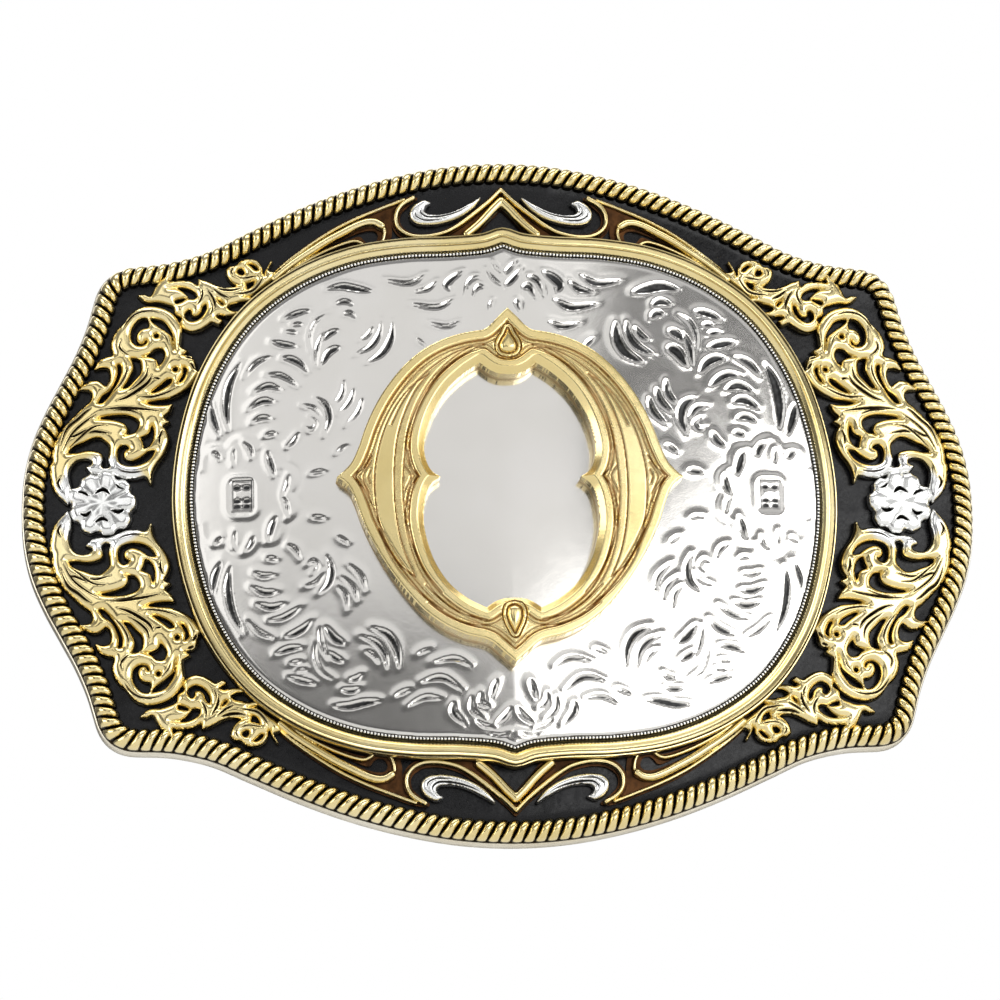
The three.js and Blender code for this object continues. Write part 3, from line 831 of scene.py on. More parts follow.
def bezel():
    """The gold bezel: a crest towards the panel, a cove, a ridge and a thin outer line."""
    top = BEZEL_TOP
    foot = ENAMEL_FRONT - 0.2
    # Distance outside the panel, height and painted shade (darkening), from the inner foot to the
    # outer foot.
    section = [
        (0.20, foot, 1.0), (0.20, top - 0.64, 0.9), (0.26, top - 0.56, 0.2), (0.50, top - 0.30, 0.0),
        (0.76, top - 0.07, 0.0), (0.86, top - 0.01, 0.0), (0.95, top - 0.03, 0.0),
        (1.05, top - 0.16, 0.30), (1.16, top - 0.22, 0.42), (1.30, top - 0.21, 0.1),
        (1.46, top - 0.12, 0.0), (1.58, top - 0.05, 0.0), (1.66, top - 0.08, 0.0),
        (1.72, top - 0.22, 0.8), (1.79, top - 0.22, 0.8), (1.84, top - 0.12, 0.0),
        (1.93, top - 0.13, 0.0), (2.01, top - 0.30, 0.1), (2.04, top - 0.60, 0.7), (2.06, foot, 1.0),
    ]
    count = 900
    points, faces = loft([level_row(panel_offset(out, count), h) for out, h, _ in section],
                         closed_rows=True)
    patina_and_shade = np.repeat([dark for _, _, dark in section], count)
    make_object("panel_bezel", points, faces, patina_and_shade, "buckle",
                GOLD, ["oval_bezel"], sharp=35)


bezel()


def milgrain():
    """The knurled wire between panel and bezel, as a row of beads."""
    beads = 540
    per_bead = 8
    sides = 10
    p = panel_offset(0.06, beads * per_bead)
    out = outward(p)
    phase = np.arange(len(p)) / per_bead
    local = 2 * (phase - np.floor(phase)) - 1
    size = 0.05 + 0.09 * np.sqrt(np.clip(1 - local ** 2, 0.0, 1.0))
    rows = []
    patina_and_shade = []
    for k in range(sides):
        angle = 2 * math.pi * k / sides
        line = p + out * (math.cos(angle) * size)[:, None]
        h = PANEL_EDGE - 0.02 + math.sin(angle) * size
        rows.append(bent(line[:, 0], line[:, 1], h))
        # Painted shade: every bead is darkened a little, more in the gaps between beads and most on
        # its back half.
        gap = np.clip((np.abs(local) - 0.45) / 0.35, 0.0, 1.0)
        patina_and_shade.append(np.clip(0.25 + gap + 0.75 * max(0.0, 0.45 - math.sin(angle)), 0.0, 1.0))
    points, faces = loft(rows, closed_rows=True)
    make_object("milgrain_beads", points, faces, np.concatenate(patina_and_shade), "buckle",
                SILVER, ["milgrain_wire"])


milgrain()

# ---------------------------------------------------------------- the engraved panel

# Bright-cut leaves of one quarter, as (points, width).
LEAF_CUTS = [
    ([(13.0, 20.7), (14.5, 20.95), (16.0, 21.25), (17.6, 21.1)], 0.75),
    ([(14.9, 19.4), (15.8, 19.7), (16.8, 19.5)], 0.55),
    ([(14.7, 18.0), (15.3, 18.5), (16.0, 18.5)], 0.5),
    ([(13.0, 17.1), (13.6, 16.2), (14.4, 15.7)], 0.45),
    ([(12.2, 17.7), (12.5, 16.1), (13.3, 15.0), (14.9, 14.2)], 0.6),
    ([(11.1, 17.5), (11.3, 15.7), (12.1, 14.3), (13.7, 13.4)], 0.75),
    ([(16.5, 16.8), (17.3, 16.4), (18.0, 15.8)], 0.6),
    ([(16.4, 15.0), (17.3, 14.5), (18.2, 13.2)], 0.75),
    ([(17.9, 16.7), (18.6, 15.0), (18.8, 13.2)], 0.5),
    ([(17.4, 18.6), (18.7, 17.7), (19.3, 16.1), (19.2, 14.6)], 0.4),
    ([(19.2, 18.9), (20.5, 18.6), (21.9, 18.1)], 0.55),
    ([(20.0, 17.5), (21.0, 17.5)], 0.4),
    ([(20.5, 16.6), (21.7, 16.8)], 0.4),
    ([(20.5, 15.2), (21.8, 15.4), (23.1, 15.8)], 0.6),
    ([(19.5, 12.5), (20.3, 13.4), (21.2, 13.9), (22.1, 14.1)], 0.65),
    ([(20.5, 11.1), (21.4, 11.8), (22.4, 12.3), (23.7, 12.4)], 0.55),
    ([(22.1, 10.8), (23.4, 11.2), (24.9, 10.7)], 0.6),
    ([(22.8, 9.6), (24.0, 9.7), (25.4, 9.0)], 0.6),
    ([(23.1, 7.9), (24.1, 8.0), (25.1, 7.6)], 0.5),
    ([(22.8, 6.4), (23.8, 6.2)], 0.45),
    ([(23.2, 14.3), (24.6, 13.6), (25.8, 12.3)], 0.5),
    ([(26.2, 13.7), (27.2, 11.6), (27.6, 9.1), (27.4, 7.0)], 0.8),
    ([(29.2, 9.7), (28.9, 8.0), (28.3, 6.4)], 0.65),
    ([(16.0, 11.7), (16.2, 10.2), (17.0, 9.2)], 0.5),
    ([(15.0, 10.8), (15.4, 9.5), (16.6, 8.2)], 0.5),
    ([(14.2, 9.8), (14.6, 8.4), (15.9, 7.0)], 0.5),
    ([(18.8, 9.9), (17.8, 9.0), (17.5, 7.6), (18.0, 6.0)], 0.65),
    ([(20.2, 9.2), (19.0, 8.8), (18.2, 7.8)], 0.4),
    ([(19.4, 8.0), (18.8, 7.2), (19.3, 6.6), (19.9, 7.0)], 0.4),
    ([(20.5, 6.4), (21.0, 5.5), (21.8, 4.9)], 0.5),
    ([(21.6, 2.1), (21.8, 0.9), (22.2, 0.0)], 0.45),
    ([(23.6, 4.5), (23.3, 3.2), (22.9, 2.1)], 0.6),
    ([(25.9, 5.5), (25.3, 4.8), (25.1, 4.0)], 0.5),
    ([(28.9, 4.7), (28.2, 4.0)], 0.45),
    ([(26.9, 4.9), (26.9, 3.4)], 0.35),
    ([(15.8, 5.0), (16.9, 4.2)], 0.4),
    ([(18.0, 2.4), (19.4, 2.2)], 0.45),
]
# The spray above the ring, one half.
TOP_CUTS = [
    ([(1.9, 21.0), (2.5, 21.1), (3.1, 20.1)], 0.5),
    ([(2.4, 22.2), (3.3, 21.8), (4.0, 20.3)], 0.45),
    ([(4.0, 22.7), (5.0, 22.0), (5.7, 21.2), (5.3, 20.7)], 0.65),
    ([(6.6, 21.7), (7.5, 20.9), (9.0, 20.6)], 0.5),
    ([(7.7, 22.4), (9.3, 21.5), (11.9, 21.9)], 0.5),
    ([(5.0, 19.8), (6.6, 18.95), (9.4, 19.4)], 0.55),
    ([(4.4, 17.5), (5.7, 16.95), (7.6, 17.4)], 0.45),
    ([(1.2, 19.7), (1.5, 18.8)], 0.4),
    ([(0.15, 21.2), (0.9, 21.8), (1.7, 22.9)], 0.45),
    ([(0.1, 22.5), (0.6, 23.0), (1.1, 23.7)], 0.35),
    ([(8.9, 15.9), (7.8, 14.9)], 0.35),
]
# The shell of leaves below the ring, one half, with v from the middle downwards.
BOTTOM_CUTS = [
    ([(1.6, 18.8), (1.9, 19.6), (2.2, 20.6)], 0.55),
    ([(3.2, 20.0), (3.2, 21.0), (2.4, 21.5)], 0.5),
    ([(4.1, 20.4), (4.1, 21.7), (3.0, 22.7)], 0.5),
    ([(5.9, 21.0), (5.9, 22.0), (4.8, 23.2)], 0.65),
    ([(0.25, 21.5), (0.9, 22.4), (1.8, 23.1)], 0.5),
    ([(2.0, 23.5), (3.0, 23.3), (3.9, 22.6)], 0.4),
    ([(0.4, 24.0), (1.4, 24.3), (2.8, 24.0)], 0.35),
    ([(4.1, 17.4), (5.6, 16.7), (7.9, 17.0)], 0.5),
    ([(5.0, 19.8), (6.9, 18.6), (9.0, 18.9)], 0.6),
    ([(7.0, 20.6), (8.6, 20.5), (10.4, 21.3)], 0.5),
    ([(8.0, 15.6), (9.4, 16.2)], 0.35),
    ([(10.0, 19.6), (11.6, 20.3)], 0.45),
]
CREST_X = 26.2
CREST_Z = 0.25
CREST_HALF_WIDTH = 1.05
CREST_HALF_HEIGHT = 1.55
CREST_CORNER = 0.5
CREST_ROWS = (0.75, -0.62, -1.15)    # heights of the little ovals inside the crest
ROSETTE_RADIUS = 4.6
# Widths of the cuts as drawn times these. The upper right is the boldest.
BOLD_CUT = 1.55
PLAIN_CUT = 1.10
PANEL_STEP = 0.166    # grid step, small enough for the cuts and under 200,000 faces


def mirrored(cuts, right, up):
    """The cuts in another quarter, at that quarter's boldness."""
    widen = BOLD_CUT if right > 0 and up > 0 else PLAIN_CUT
    return [([(u * right, v * up) for u, v in points], width * widen) for points, width in cuts]


def crest_channels(grid):
    """Darkness of the crest's little window, and height of the soft rims round it."""
    across = np.abs(grid.X) - CREST_X
    rise = grid.Y - CREST_Z
    edge = np.maximum(np.abs(across) - CREST_HALF_WIDTH, np.abs(rise) - CREST_HALF_HEIGHT)
    bars = np.clip(1 - np.abs(edge + 0.12) / 0.16, 0.0, 1.0)
    for row in CREST_ROWS:
        ovals = np.hypot((np.abs(across) - 0.48) / 0.36, (rise - row) / 0.20)
        bars = np.maximum(bars, np.clip(1.6 - ovals, 0.0, 1.0))
    beside = np.clip(np.abs(across) - CREST_HALF_WIDTH + CREST_CORNER, 0.0, None)
    above = np.clip(np.abs(rise + 0.15) - CREST_HALF_HEIGHT + CREST_CORNER, 0.0, None)
    away = np.clip(np.hypot(beside, above) - CREST_CORNER, 0.0, None)
    rim = 0.05 * np.exp(-((away - 0.50) / 0.28) ** 2)
    turn = np.arctan2(rise, across)
    scallop = np.hypot(across, rise * 0.92) - ROSETTE_RADIUS - 0.75 * np.abs(np.sin(5 * turn))
    rim = rim + 0.022 * np.exp(-(scallop / 0.32) ** 2)
    rim = rim - 0.016 * np.exp(-((scallop - 0.6) / 0.3) ** 2)
    return bars, rim


def panel():
    """The domed silver panel with its bright-cut leaves and two small windowed crests."""
    edge = joined_up(offset_line(panel_line, -0.12))
    edge_radius = radius_by_angle(edge[:-1])
    grid = Grid(edge, PANEL_STEP)
    field = grid.signed([edge], 2.0)
    cuts = []
    for right in (1, -1):
        cuts += mirrored(TOP_CUTS, right, 1) + mirrored(BOTTOM_CUTS, right, -1)
        for up in (1, -1):
            cuts += mirrored(LEAF_CUTS, right, up)
    depth, beyond = grid.cut_strokes(cuts, 0.25, lean=0.45)
    crest, rims = crest_channels(grid)

    def profile(x, y, distance, cut, past, window, rim):
        ratio = np.hypot(x, y) / edge_radius(np.arctan2(y, x))
        dome = PANEL_CROWN * np.clip(1 - ratio ** 2, 0.0, 1.0)
        roll = 0.12 * np.clip(1 - distance / 0.5, 0.0, 1.0) ** 2
        burr = 0.035 * np.exp(-(past / 0.40) ** 2)
        height = PANEL_EDGE + dome - roll + burr - cut - 0.10 * window + rim
        # Painted shade in the deep part of each cut, and along the rim (edge_shade); the crest's
        # window keeps its own dark pattern.
        patina_and_shade = np.clip((cut - 0.05) / 0.07, 0.0, 1.0) * 0.95
        patina_and_shade = np.maximum(patina_and_shade, window)
        edge_shade = np.clip(1 - distance / 0.22, 0.0, 1.0) * 0.7
        return height, np.clip(np.maximum(patina_and_shade, edge_shade), 0.0, 1.0)

    u, v, h, patina_and_shade, faces = relief_solid(
        grid, field, [depth, beyond, crest, rims], profile, PANEL_EDGE - 2.0)
    make_object("engraved_panel", bent(u, v, h), faces, patina_and_shade, "buckle",
                PANEL_SILVER, ["oval_panel"], sharp=80)


panel()

# ---------------------------------------------------------------- trim on the enamel

TRIM_BASE = ENAMEL_FRONT - 0.08
QUARTERS = {
    "upper_right": (1, 1), "upper_left": (-1, 1), "lower_right": (1, -1), "lower_left": (-1, -1),
}

# Everything here is drawn for the upper right quarter. A point given twice is a sharp tip. A
# groove is (points, width) and a ridge (points, width, height).

# The side scroll: leaves and curls from the flower up to the corner.
SCROLL = [
    (32.1, 16.6), (32.0, 17.7), (32.5, 18.8), (33.3, 19.6), (34.2, 20.0), (35.2, 20.15),
    (36.2, 20.0), (37.0, 19.4), (37.5, 18.6), (38.2, 18.0), (38.7, 17.2), (38.9, 16.3),
    (38.75, 15.35), (39.4, 15.15), (40.1, 14.8), (40.5, 14.0), (40.5, 14.0), (39.8, 14.15),
    (39.2, 14.0), (39.0, 13.4), (39.1, 12.7), (39.5, 12.1), (39.5, 12.1), (39.8, 12.4),
    (40.3, 12.75), (40.9, 12.75), (41.5, 12.45), (42.0, 12.0), (42.0, 12.0), (41.1, 11.85),
    (40.8, 11.4), (41.0, 10.7), (41.8, 10.0), (42.8, 9.0), (43.6, 8.1), (44.2, 7.2),
    (44.6, 6.3), (44.75, 5.3), (44.75, 4.7), (44.95, 4.2), (44.9, 3.2), (44.7, 2.2),
    (44.2, 1.3), (43.3, 0.4), (43.3, 0.4), (43.05, 1.2), (43.0, 2.0), (43.15, 2.7),
    (43.2, 3.4), (43.0, 4.1), (42.4, 4.75), (41.6, 4.9), (40.9, 4.65), (40.85, 4.25),
    (41.4, 3.95), (41.4, 3.95), (41.0, 3.5), (40.2, 3.3), (39.4, 3.35), (38.8, 3.2),
    (38.2, 2.95), (37.5, 2.7), (36.5, 2.65), (35.6, 2.8), (35.1, 2.1), (35.1, 2.1),
    (34.95, 3.1), (34.5, 4.0), (33.9, 4.8), (33.5, 5.6), (33.3, 6.4), (33.5, 7.2),
    (33.8, 7.8), (33.25, 8.2), (33.25, 8.2), (33.75, 8.7), (33.2, 9.3), (32.95, 9.95),
    (32.95, 9.95), (34.0, 9.9), (35.2, 10.05), (35.9, 10.4), (35.9, 10.4), (34.5, 10.55),
    (33.2, 10.7), (32.0, 11.2), (31.0, 12.0), (30.2, 13.1), (30.2, 13.1), (30.65, 13.6),
    (30.7, 14.3), (31.1, 14.8), (31.9, 15.0), (31.4, 15.45), (31.4, 15.45), (32.1, 15.9),
]
SCROLL_SLOTS = [
    [(32.65, 15.5), (32.65, 16.5), (32.8, 17.3), (33.2, 18.0), (33.8, 18.7), (34.6, 19.0),
     (35.2, 19.1), (35.2, 19.1), (35.0, 18.6), (34.4, 18.1), (33.6, 17.5), (33.1, 17.0),
     (32.9, 16.2)],
    arc(34.45, 17.15, 0.3, 0, 324, 10),
    [(35.3, 19.0), (36.0, 19.0), (36.6, 18.5), (36.95, 17.9), (37.05, 17.2), (36.9, 16.6),
     (36.4, 16.15), (35.85, 16.1), (35.4, 16.35), (35.3, 16.75), (35.5, 16.9), (35.8, 16.5),
     (36.15, 16.55), (36.35, 17.0), (36.2, 17.5), (35.8, 17.85), (35.2, 18.0)],
    [(33.6, 15.2), (33.9, 15.8), (34.6, 15.8), (35.1, 15.4), (36.3, 14.95), (36.3, 14.95),
     (35.2, 14.9), (34.5, 14.6), (34.35, 13.8), (34.35, 13.8), (33.8, 14.5)],
    [(36.1, 14.8), (37.1, 15.0), (36.9, 14.5), (36.8, 13.9), (37.1, 13.2), (37.5, 12.5),
     (38.1, 11.7), (38.1, 11.7), (37.3, 11.9), (36.6, 12.6), (36.0, 13.3), (35.9, 14.0)],
    [(38.0, 14.4), (38.4, 14.4), (38.35, 13.6), (38.65, 12.6), (39.15, 11.8), (39.8, 11.3),
     (40.4, 10.5), (40.4, 10.5), (39.9, 10.4), (39.2, 11.0), (38.5, 12.0), (38.0, 13.0),
     (37.85, 13.8)],
    [(31.4, 13.6), (31.9, 14.0), (31.9, 13.2), (32.2, 12.6), (32.45, 12.1), (31.9, 12.3),
     (31.5, 13.0)],
    arc(32.6, 13.6, 0.3, 0, 324, 10),
    [(32.9, 12.6), (33.3, 12.7), (34.0, 12.2), (35.2, 11.3), (35.2, 11.3), (34.8, 11.2),
     (33.8, 11.6), (33.0, 12.2)],
    [(36.2, 8.0), (36.25, 8.5), (36.7, 8.9), (37.6, 9.2), (38.8, 9.25), (40.0, 9.1),
     (40.5, 8.8), (40.5, 8.8), (39.4, 8.7), (38.4, 8.5), (37.6, 8.1), (37.4, 7.5), (37.7, 7.0),
     (37.2, 7.1), (36.6, 7.3)],
    [(39.1, 6.1), (39.5, 6.6), (40.1, 7.0), (40.8, 6.95), (41.7, 6.6), (42.9, 6.1),
     (43.3, 5.4), (43.3, 5.4), (42.3, 5.45), (41.4, 5.6), (40.5, 5.5), (39.95, 5.2),
     (39.9, 4.6), (40.0, 4.1), (39.6, 3.75), (39.05, 3.95), (39.2, 4.6), (39.1, 5.3)],
    [(34.6, 5.4), (35.0, 4.6), (35.7, 4.1), (36.6, 3.85), (37.5, 3.9), (38.2, 4.3),
     (38.4, 5.0), (38.3, 5.7), (37.9, 6.1), (37.4, 6.0), (37.15, 5.65), (37.6, 5.35),
     (37.6, 4.8), (37.0, 4.5), (36.3, 4.7), (35.7, 5.1), (35.3, 5.4)],
    [(34.9, 8.2), (34.7, 7.6), (34.7, 6.9), (34.9, 6.2), (35.3, 5.7), (35.7, 5.6),
     (35.9, 6.3), (36.1, 6.8), (35.8, 6.9), (35.3, 7.2), (35.1, 7.8)],
]
SCROLL_GROOVES = [
    ([(34.9, 13.0), (35.3, 12.3), (36.3, 11.5), (37.5, 10.8), (38.5, 10.5)], 0.42),
    ([(40.9, 9.9), (41.4, 9.6), (42.3, 8.8), (43.1, 8.2), (43.5, 7.6), (44.0, 6.2)], 0.4),
    ([(43.1, 7.0), (42.4, 7.2), (41.3, 7.8)], 0.34),
    ([(34.0, 9.2), (35.5, 9.5), (37.0, 9.7), (38.2, 9.8), (40.0, 9.7)], 0.38),
    ([(39.0, 7.2), (40.5, 7.5), (41.2, 7.4)], 0.34),
    ([(33.9, 7.4), (34.2, 6.6), (34.2, 5.9)], 0.34),
    ([(34.1, 12.6), (34.8, 12.7)], 0.3),
    ([(37.1, 15.1), (37.8, 15.6), (38.1, 16.1), (37.9, 16.9)], 0.3),
    ([(31.0, 14.6), (31.6, 14.8)], 0.35),
    ([(30.7, 13.5), (31.1, 14.1)], 0.35),
    ([(35.6, 3.3), (36.6, 3.15), (37.8, 3.3), (38.6, 3.8)], 0.26),
    ([(43.9, 3.1), (44.2, 2.4), (43.8, 1.6)], 0.34),
    ([(33.2, 16.0), (33.5, 16.8), (34.2, 17.6)], 0.22),
    ([(39.3, 8.1), (40.7, 7.95), (42.0, 7.0), (43.2, 5.9)], 0.30),
    ([(40.2, 9.4), (41.6, 8.5), (42.8, 7.4), (43.9, 5.4)], 0.30),
    ([(35.3, 14.0), (35.5, 13.0), (36.3, 12.1), (37.5, 11.3)], 0.32),
    ([(37.5, 14.7), (37.4, 13.6), (38.0, 12.3), (39.0, 11.2)], 0.28),
    ([(33.7, 19.2), (34.9, 19.6), (36.3, 19.45), (37.3, 18.7), (37.9, 17.7)], 0.30),
    ([(32.3, 11.7), (33.6, 11.1), (35.0, 10.8), (36.4, 10.9)], 0.30),
    ([(35.9, 9.0), (37.2, 9.5), (38.8, 9.6)], 0.26),
]
# The sprig between the scroll and the ribbon, with its curls.
SPRIG = [
    (23.0, 24.4), (23.0, 24.4), (23.4, 23.5), (22.7, 23.2), (22.7, 23.2), (22.9, 22.5),
    (23.6, 21.9), (24.3, 21.4), (24.9, 21.0), (25.8, 20.8), (24.7, 20.6), (24.7, 20.6),
    (24.7, 20.3), (25.6, 20.35), (26.5, 20.2), (27.1, 20.05), (27.4, 19.7), (27.0, 19.35),
    (26.2, 19.25), (26.2, 19.25), (26.6, 18.95), (27.4, 18.9), (28.1, 19.05), (28.5, 18.8),
    (27.9, 18.35), (27.9, 18.35), (28.2, 18.05), (28.9, 18.3), (29.4, 18.0), (30.1, 17.6),
    (30.9, 17.45), (31.6, 17.75), (32.0, 18.3), (31.9, 18.9), (32.5, 19.4), (32.7, 20.1),
    (33.4, 20.45), (34.3, 20.7), (35.1, 20.7), (35.7, 20.9), (36.15, 21.35), (36.15, 21.35),
    (35.6, 21.4), (35.1, 21.2), (34.85, 21.4), (34.6, 21.9), (34.2, 22.5), (33.7, 23.0),
    (33.3, 23.5), (33.1, 23.9), (33.1, 23.9), (33.1, 23.2), (33.2, 22.65), (32.5, 22.65),
    (31.6, 22.65), (30.9, 22.5), (30.35, 22.1), (30.2, 22.75), (30.2, 22.75), (29.4, 22.5),
    (28.6, 22.1), (27.9, 21.8), (27.2, 21.75), (26.6, 21.8), (26.1, 21.95), (26.8, 22.3),
    (27.3, 22.9), (27.45, 23.6), (27.1, 23.95), (27.1, 23.95), (26.5, 24.05), (26.0, 24.5),
    (25.2, 24.65), (24.4, 24.4), (24.0, 23.8), (23.95, 23.2), (23.7, 22.9), (23.5, 23.5),
]
SPRIG_SLOTS = [
    [(24.2, 23.5), (24.5, 24.0), (25.1, 24.3), (25.4, 24.15), (25.0, 23.8), (24.6, 23.45)],
    [(25.65, 23.3), (25.9, 23.75), (26.3, 23.7), (26.45, 23.35), (26.1, 23.05), (25.75, 23.05)],
    [(24.6, 22.6), (24.75, 22.0), (25.2, 21.6), (25.75, 21.45), (25.75, 21.45), (25.5, 21.9),
     (25.8, 22.25), (25.8, 22.25), (25.2, 22.35)],
    [(30.4, 20.9), (30.5, 21.4), (31.0, 21.8), (31.8, 22.1), (32.6, 22.1), (33.25, 21.95),
     (33.25, 21.95), (32.4, 21.8), (31.8, 21.45), (31.4, 21.0), (31.4, 21.0), (32.0, 20.95),
     (32.6, 20.75), (32.55, 20.3), (31.9, 20.45), (31.3, 20.75), (30.8, 20.7)],
    [(29.5, 20.4), (29.4, 19.8), (29.7, 19.1), (30.3, 18.55), (31.0, 18.4), (31.6, 18.8),
     (31.65, 19.3), (31.2, 19.75), (30.9, 19.5), (30.85, 19.15), (30.45, 19.1), (30.1, 19.45),
     (29.9, 20.0)],
    [(27.7, 20.1), (27.95, 20.5), (28.6, 20.9), (28.6, 20.9), (28.3, 20.3), (27.9, 19.95)],
]
SPRIG_GROOVES = [
    ([(23.8, 22.9), (24.2, 22.1), (24.9, 21.35), (25.8, 21.1), (26.9, 21.0)], 0.34),
    ([(26.0, 21.6), (26.9, 21.45), (27.7, 21.5), (28.5, 21.75)], 0.38),
    ([(27.2, 20.6), (28.0, 21.0), (28.9, 21.7)], 0.34),
    ([(28.6, 19.6), (28.8, 20.6), (29.4, 21.6)], 0.34),
    ([(30.0, 21.9), (29.85, 21.2), (30.1, 20.5), (30.4, 20.1)], 0.32),
    ([(29.2, 18.9), (28.9, 19.5), (28.9, 20.1)], 0.26),
    ([(24.3, 22.9), (25.0, 22.75), (26.0, 22.65), (26.8, 23.0)], 0.24),
    ([(26.7, 23.9), (27.0, 23.4), (26.8, 22.9)], 0.24),
]
# The horn-shaped ribbon beside the comma leaf.
RIBBON = [
    (9.6, 30.7), (9.6, 30.7), (10.6, 30.4), (11.6, 30.0), (13.0, 29.45), (15.0, 28.6),
    (17.0, 27.55), (19.0, 26.25), (20.5, 25.15), (22.0, 23.95), (23.0, 22.95), (23.5, 22.0),
    (23.5, 22.0), (22.4, 22.2), (21.0, 23.15), (19.5, 24.05), (18.0, 24.9), (16.5, 25.45),
    (15.0, 25.95), (14.2, 25.95), (13.7, 25.45), (13.0, 25.3), (12.2, 25.5), (11.5, 25.8),
    (11.2, 26.6), (11.1, 27.4), (11.15, 28.4), (11.0, 29.2), (10.5, 30.0),
]
RIBBON_SLOTS = [
    [(12.2, 27.0), (12.5, 27.5), (13.2, 27.65), (14.0, 27.5), (15.2, 27.05), (16.5, 26.45),
     (18.0, 25.65), (19.5, 24.7), (20.8, 23.8), (20.8, 23.8), (19.0, 24.7), (17.5, 25.4),
     (16.0, 26.0), (14.9, 26.5), (14.2, 26.7), (13.8, 26.25), (13.3, 25.95), (12.7, 26.05),
     (12.3, 26.5)],
]
RIBBON_RIDGES = [
    ([(9.7, 30.6), (11.0, 30.1), (12.5, 29.5), (14.0, 28.9), (15.5, 28.2), (17.0, 27.4),
      (18.5, 26.45), (20.0, 25.4), (21.5, 24.25), (22.6, 23.25), (23.3, 22.3)], 0.36, 0.5),
    ([(12.0, 27.8), (12.6, 28.15), (13.4, 28.2), (14.5, 27.85), (16.0, 27.1), (17.5, 26.3),
      (19.0, 25.35), (20.3, 24.5), (21.6, 23.55), (22.7, 22.6)], 0.84, 1.0),
    ([(12.2, 28.0), (11.75, 27.5), (11.75, 26.8), (12.1, 26.0), (12.8, 25.6), (13.6, 25.65),
      (14.0, 26.0), (14.6, 26.25), (15.5, 26.1), (17.0, 25.55), (18.5, 24.85), (20.0, 24.0),
      (21.3, 23.15), (22.5, 22.35)], 0.42, 0.7),
]
# The silver comma leaf.
COMMA = [
    (2.1, 30.65), (2.1, 30.65), (2.8, 29.75), (3.6, 29.1), (4.6, 28.55), (5.6, 28.2),
    (6.6, 28.0), (7.6, 27.95), (8.5, 28.1), (9.0, 28.55), (9.1, 29.15), (8.8, 29.75),
    (8.3, 30.15), (7.7, 30.4), (7.15, 30.15), (7.15, 30.15), (7.6, 29.8), (7.75, 29.3),
    (7.4, 28.95), (6.8, 28.85), (5.9, 28.9), (5.0, 29.1), (4.1, 29.5), (3.2, 30.0),
]
COMMA_GROOVES = [
    ([(3.0, 29.95), (4.1, 29.3), (5.4, 28.85), (6.6, 28.65), (7.6, 28.7), (8.1, 29.15),
      (7.95, 29.75)], 0.30),
    ([(5.6, 28.45), (6.8, 28.3), (7.9, 28.35), (8.6, 28.8), (8.6, 29.4)], 0.24),
]
# The peak's right half, from the middle of its top to the middle of its foot.
PEAK_HALF = [
    (0, 31.8), (1.0, 30.8), (2.0, 29.9), (3.1, 29.0), (4.3, 28.1), (5.4, 27.45), (6.6, 27.05),
    (7.8, 26.9), (8.9, 27.0), (9.6, 27.35), (10.15, 27.9), (10.3, 28.6), (10.1, 29.3),
    (9.5, 29.95), (8.5, 30.75), (8.5, 30.75), (9.4, 30.75), (10.2, 30.15), (10.7, 29.4),
    (10.85, 28.6), (10.7, 27.7), (10.1, 26.9), (9.1, 26.45), (7.8, 26.3), (6.4, 26.4),
    (5.2, 26.6), (4.3, 26.6), (3.9, 26.4), (3.4, 26.35), (2.8, 26.7), (2.0, 27.6), (1.0, 28.7),
    (0, 29.75),
]
PEAK_RIDGES = [
    ([(0, 31.5), (1.0, 30.5), (2.0, 29.6), (3.1, 28.7), (4.3, 27.8), (5.4, 27.15), (6.6, 26.78),
      (7.8, 26.62), (9.0, 26.72), (9.9, 27.15), (10.45, 27.85), (10.58, 28.6), (10.4, 29.35),
      (9.85, 30.05), (8.8, 30.7)], 0.5, 0.9),
    ([(0, 30.3), (0.9, 29.4), (1.7, 28.5), (2.5, 27.7), (3.5, 26.85)], 0.95, 1.0),
]
TRIM_GROWTH = 0.16    # the metal spreads this far past its outlines


def cast_relief(outline, slots, grooves, step=0.08, reach=0.85, edge=0.50, rise=0.90):
    """A cast ornament: rounded up from its edges, with grooves and slots open to the enamel."""
    lines = [closed_curve(outline)] + [closed_curve(slot) for slot in slots]
    grid = Grid(lines[0], step)
    field = grid.signed(lines, 1.2) + TRIM_GROWTH
    groove, _ = grid.cut_strokes(grooves, 0.5)

    def profile(x, y, distance, cut):
        t = np.clip(distance / reach, 0.0, 1.0)
        swell = np.sqrt(np.clip(1 - (1 - t) ** 2, 0.0, 1.0))
        height = TRIM_BASE + edge + rise * swell - 1.5 * cut
        # Painted shade with antiquing in the grooves, and painted shade along the outline's edges.
        patina_and_shade = np.clip(cut / 0.07, 0.0, 1.0) * 0.95
        patina_and_shade = np.maximum(patina_and_shade, 0.7 * np.clip(1 - distance / 0.10, 0.0, 1.0))
        return height, patina_and_shade

    return relief_solid(grid, field, [groove], profile, TRIM_BASE, (0.7, 1.0))


def ridge_relief(outlines, slots, ridges, mirror=False, step=0.085):
    """A low recessed ground with raised lines on it."""
    lines = outlines + [closed_curve(slot) for slot in slots]
    grid = Grid(lines[0], step)
    field = grid.signed(lines, 0.6) + TRIM_GROWTH
    raised = np.zeros(grid.X.shape)
    for points, width, height in ridges:
        for side in (1, -1) if mirror else (1,):
            line = open_curve([(u * side, v) for u, v in points], 6)
            gap = grid.distance([line], 1.0) / (0.5 * width)
            crown = np.sqrt(np.clip(1 - np.clip(gap, 0.0, 1.0) ** 2, 0.0, 1.0))
            raised = np.maximum(raised, np.where(gap < 1, (0.35 + 0.65 * crown) * height, 0.0))

    def profile(x, y, distance, ridge):
        height = TRIM_BASE + 0.42 + 0.95 * ridge
        # The low ground between ridges is darkened: brown antiquing, deepened as painted shade.
        patina_and_shade = np.clip(1 - ridge / 0.4, 0.0, 1.0)
        return height, patina_and_shade

    return relief_solid(grid, field, [raised], profile, TRIM_BASE, (0.5, 1.0))


FLOWER_X = 39.85
FLOWER_Z = 0.2
SILVERED_REACH = 5.4

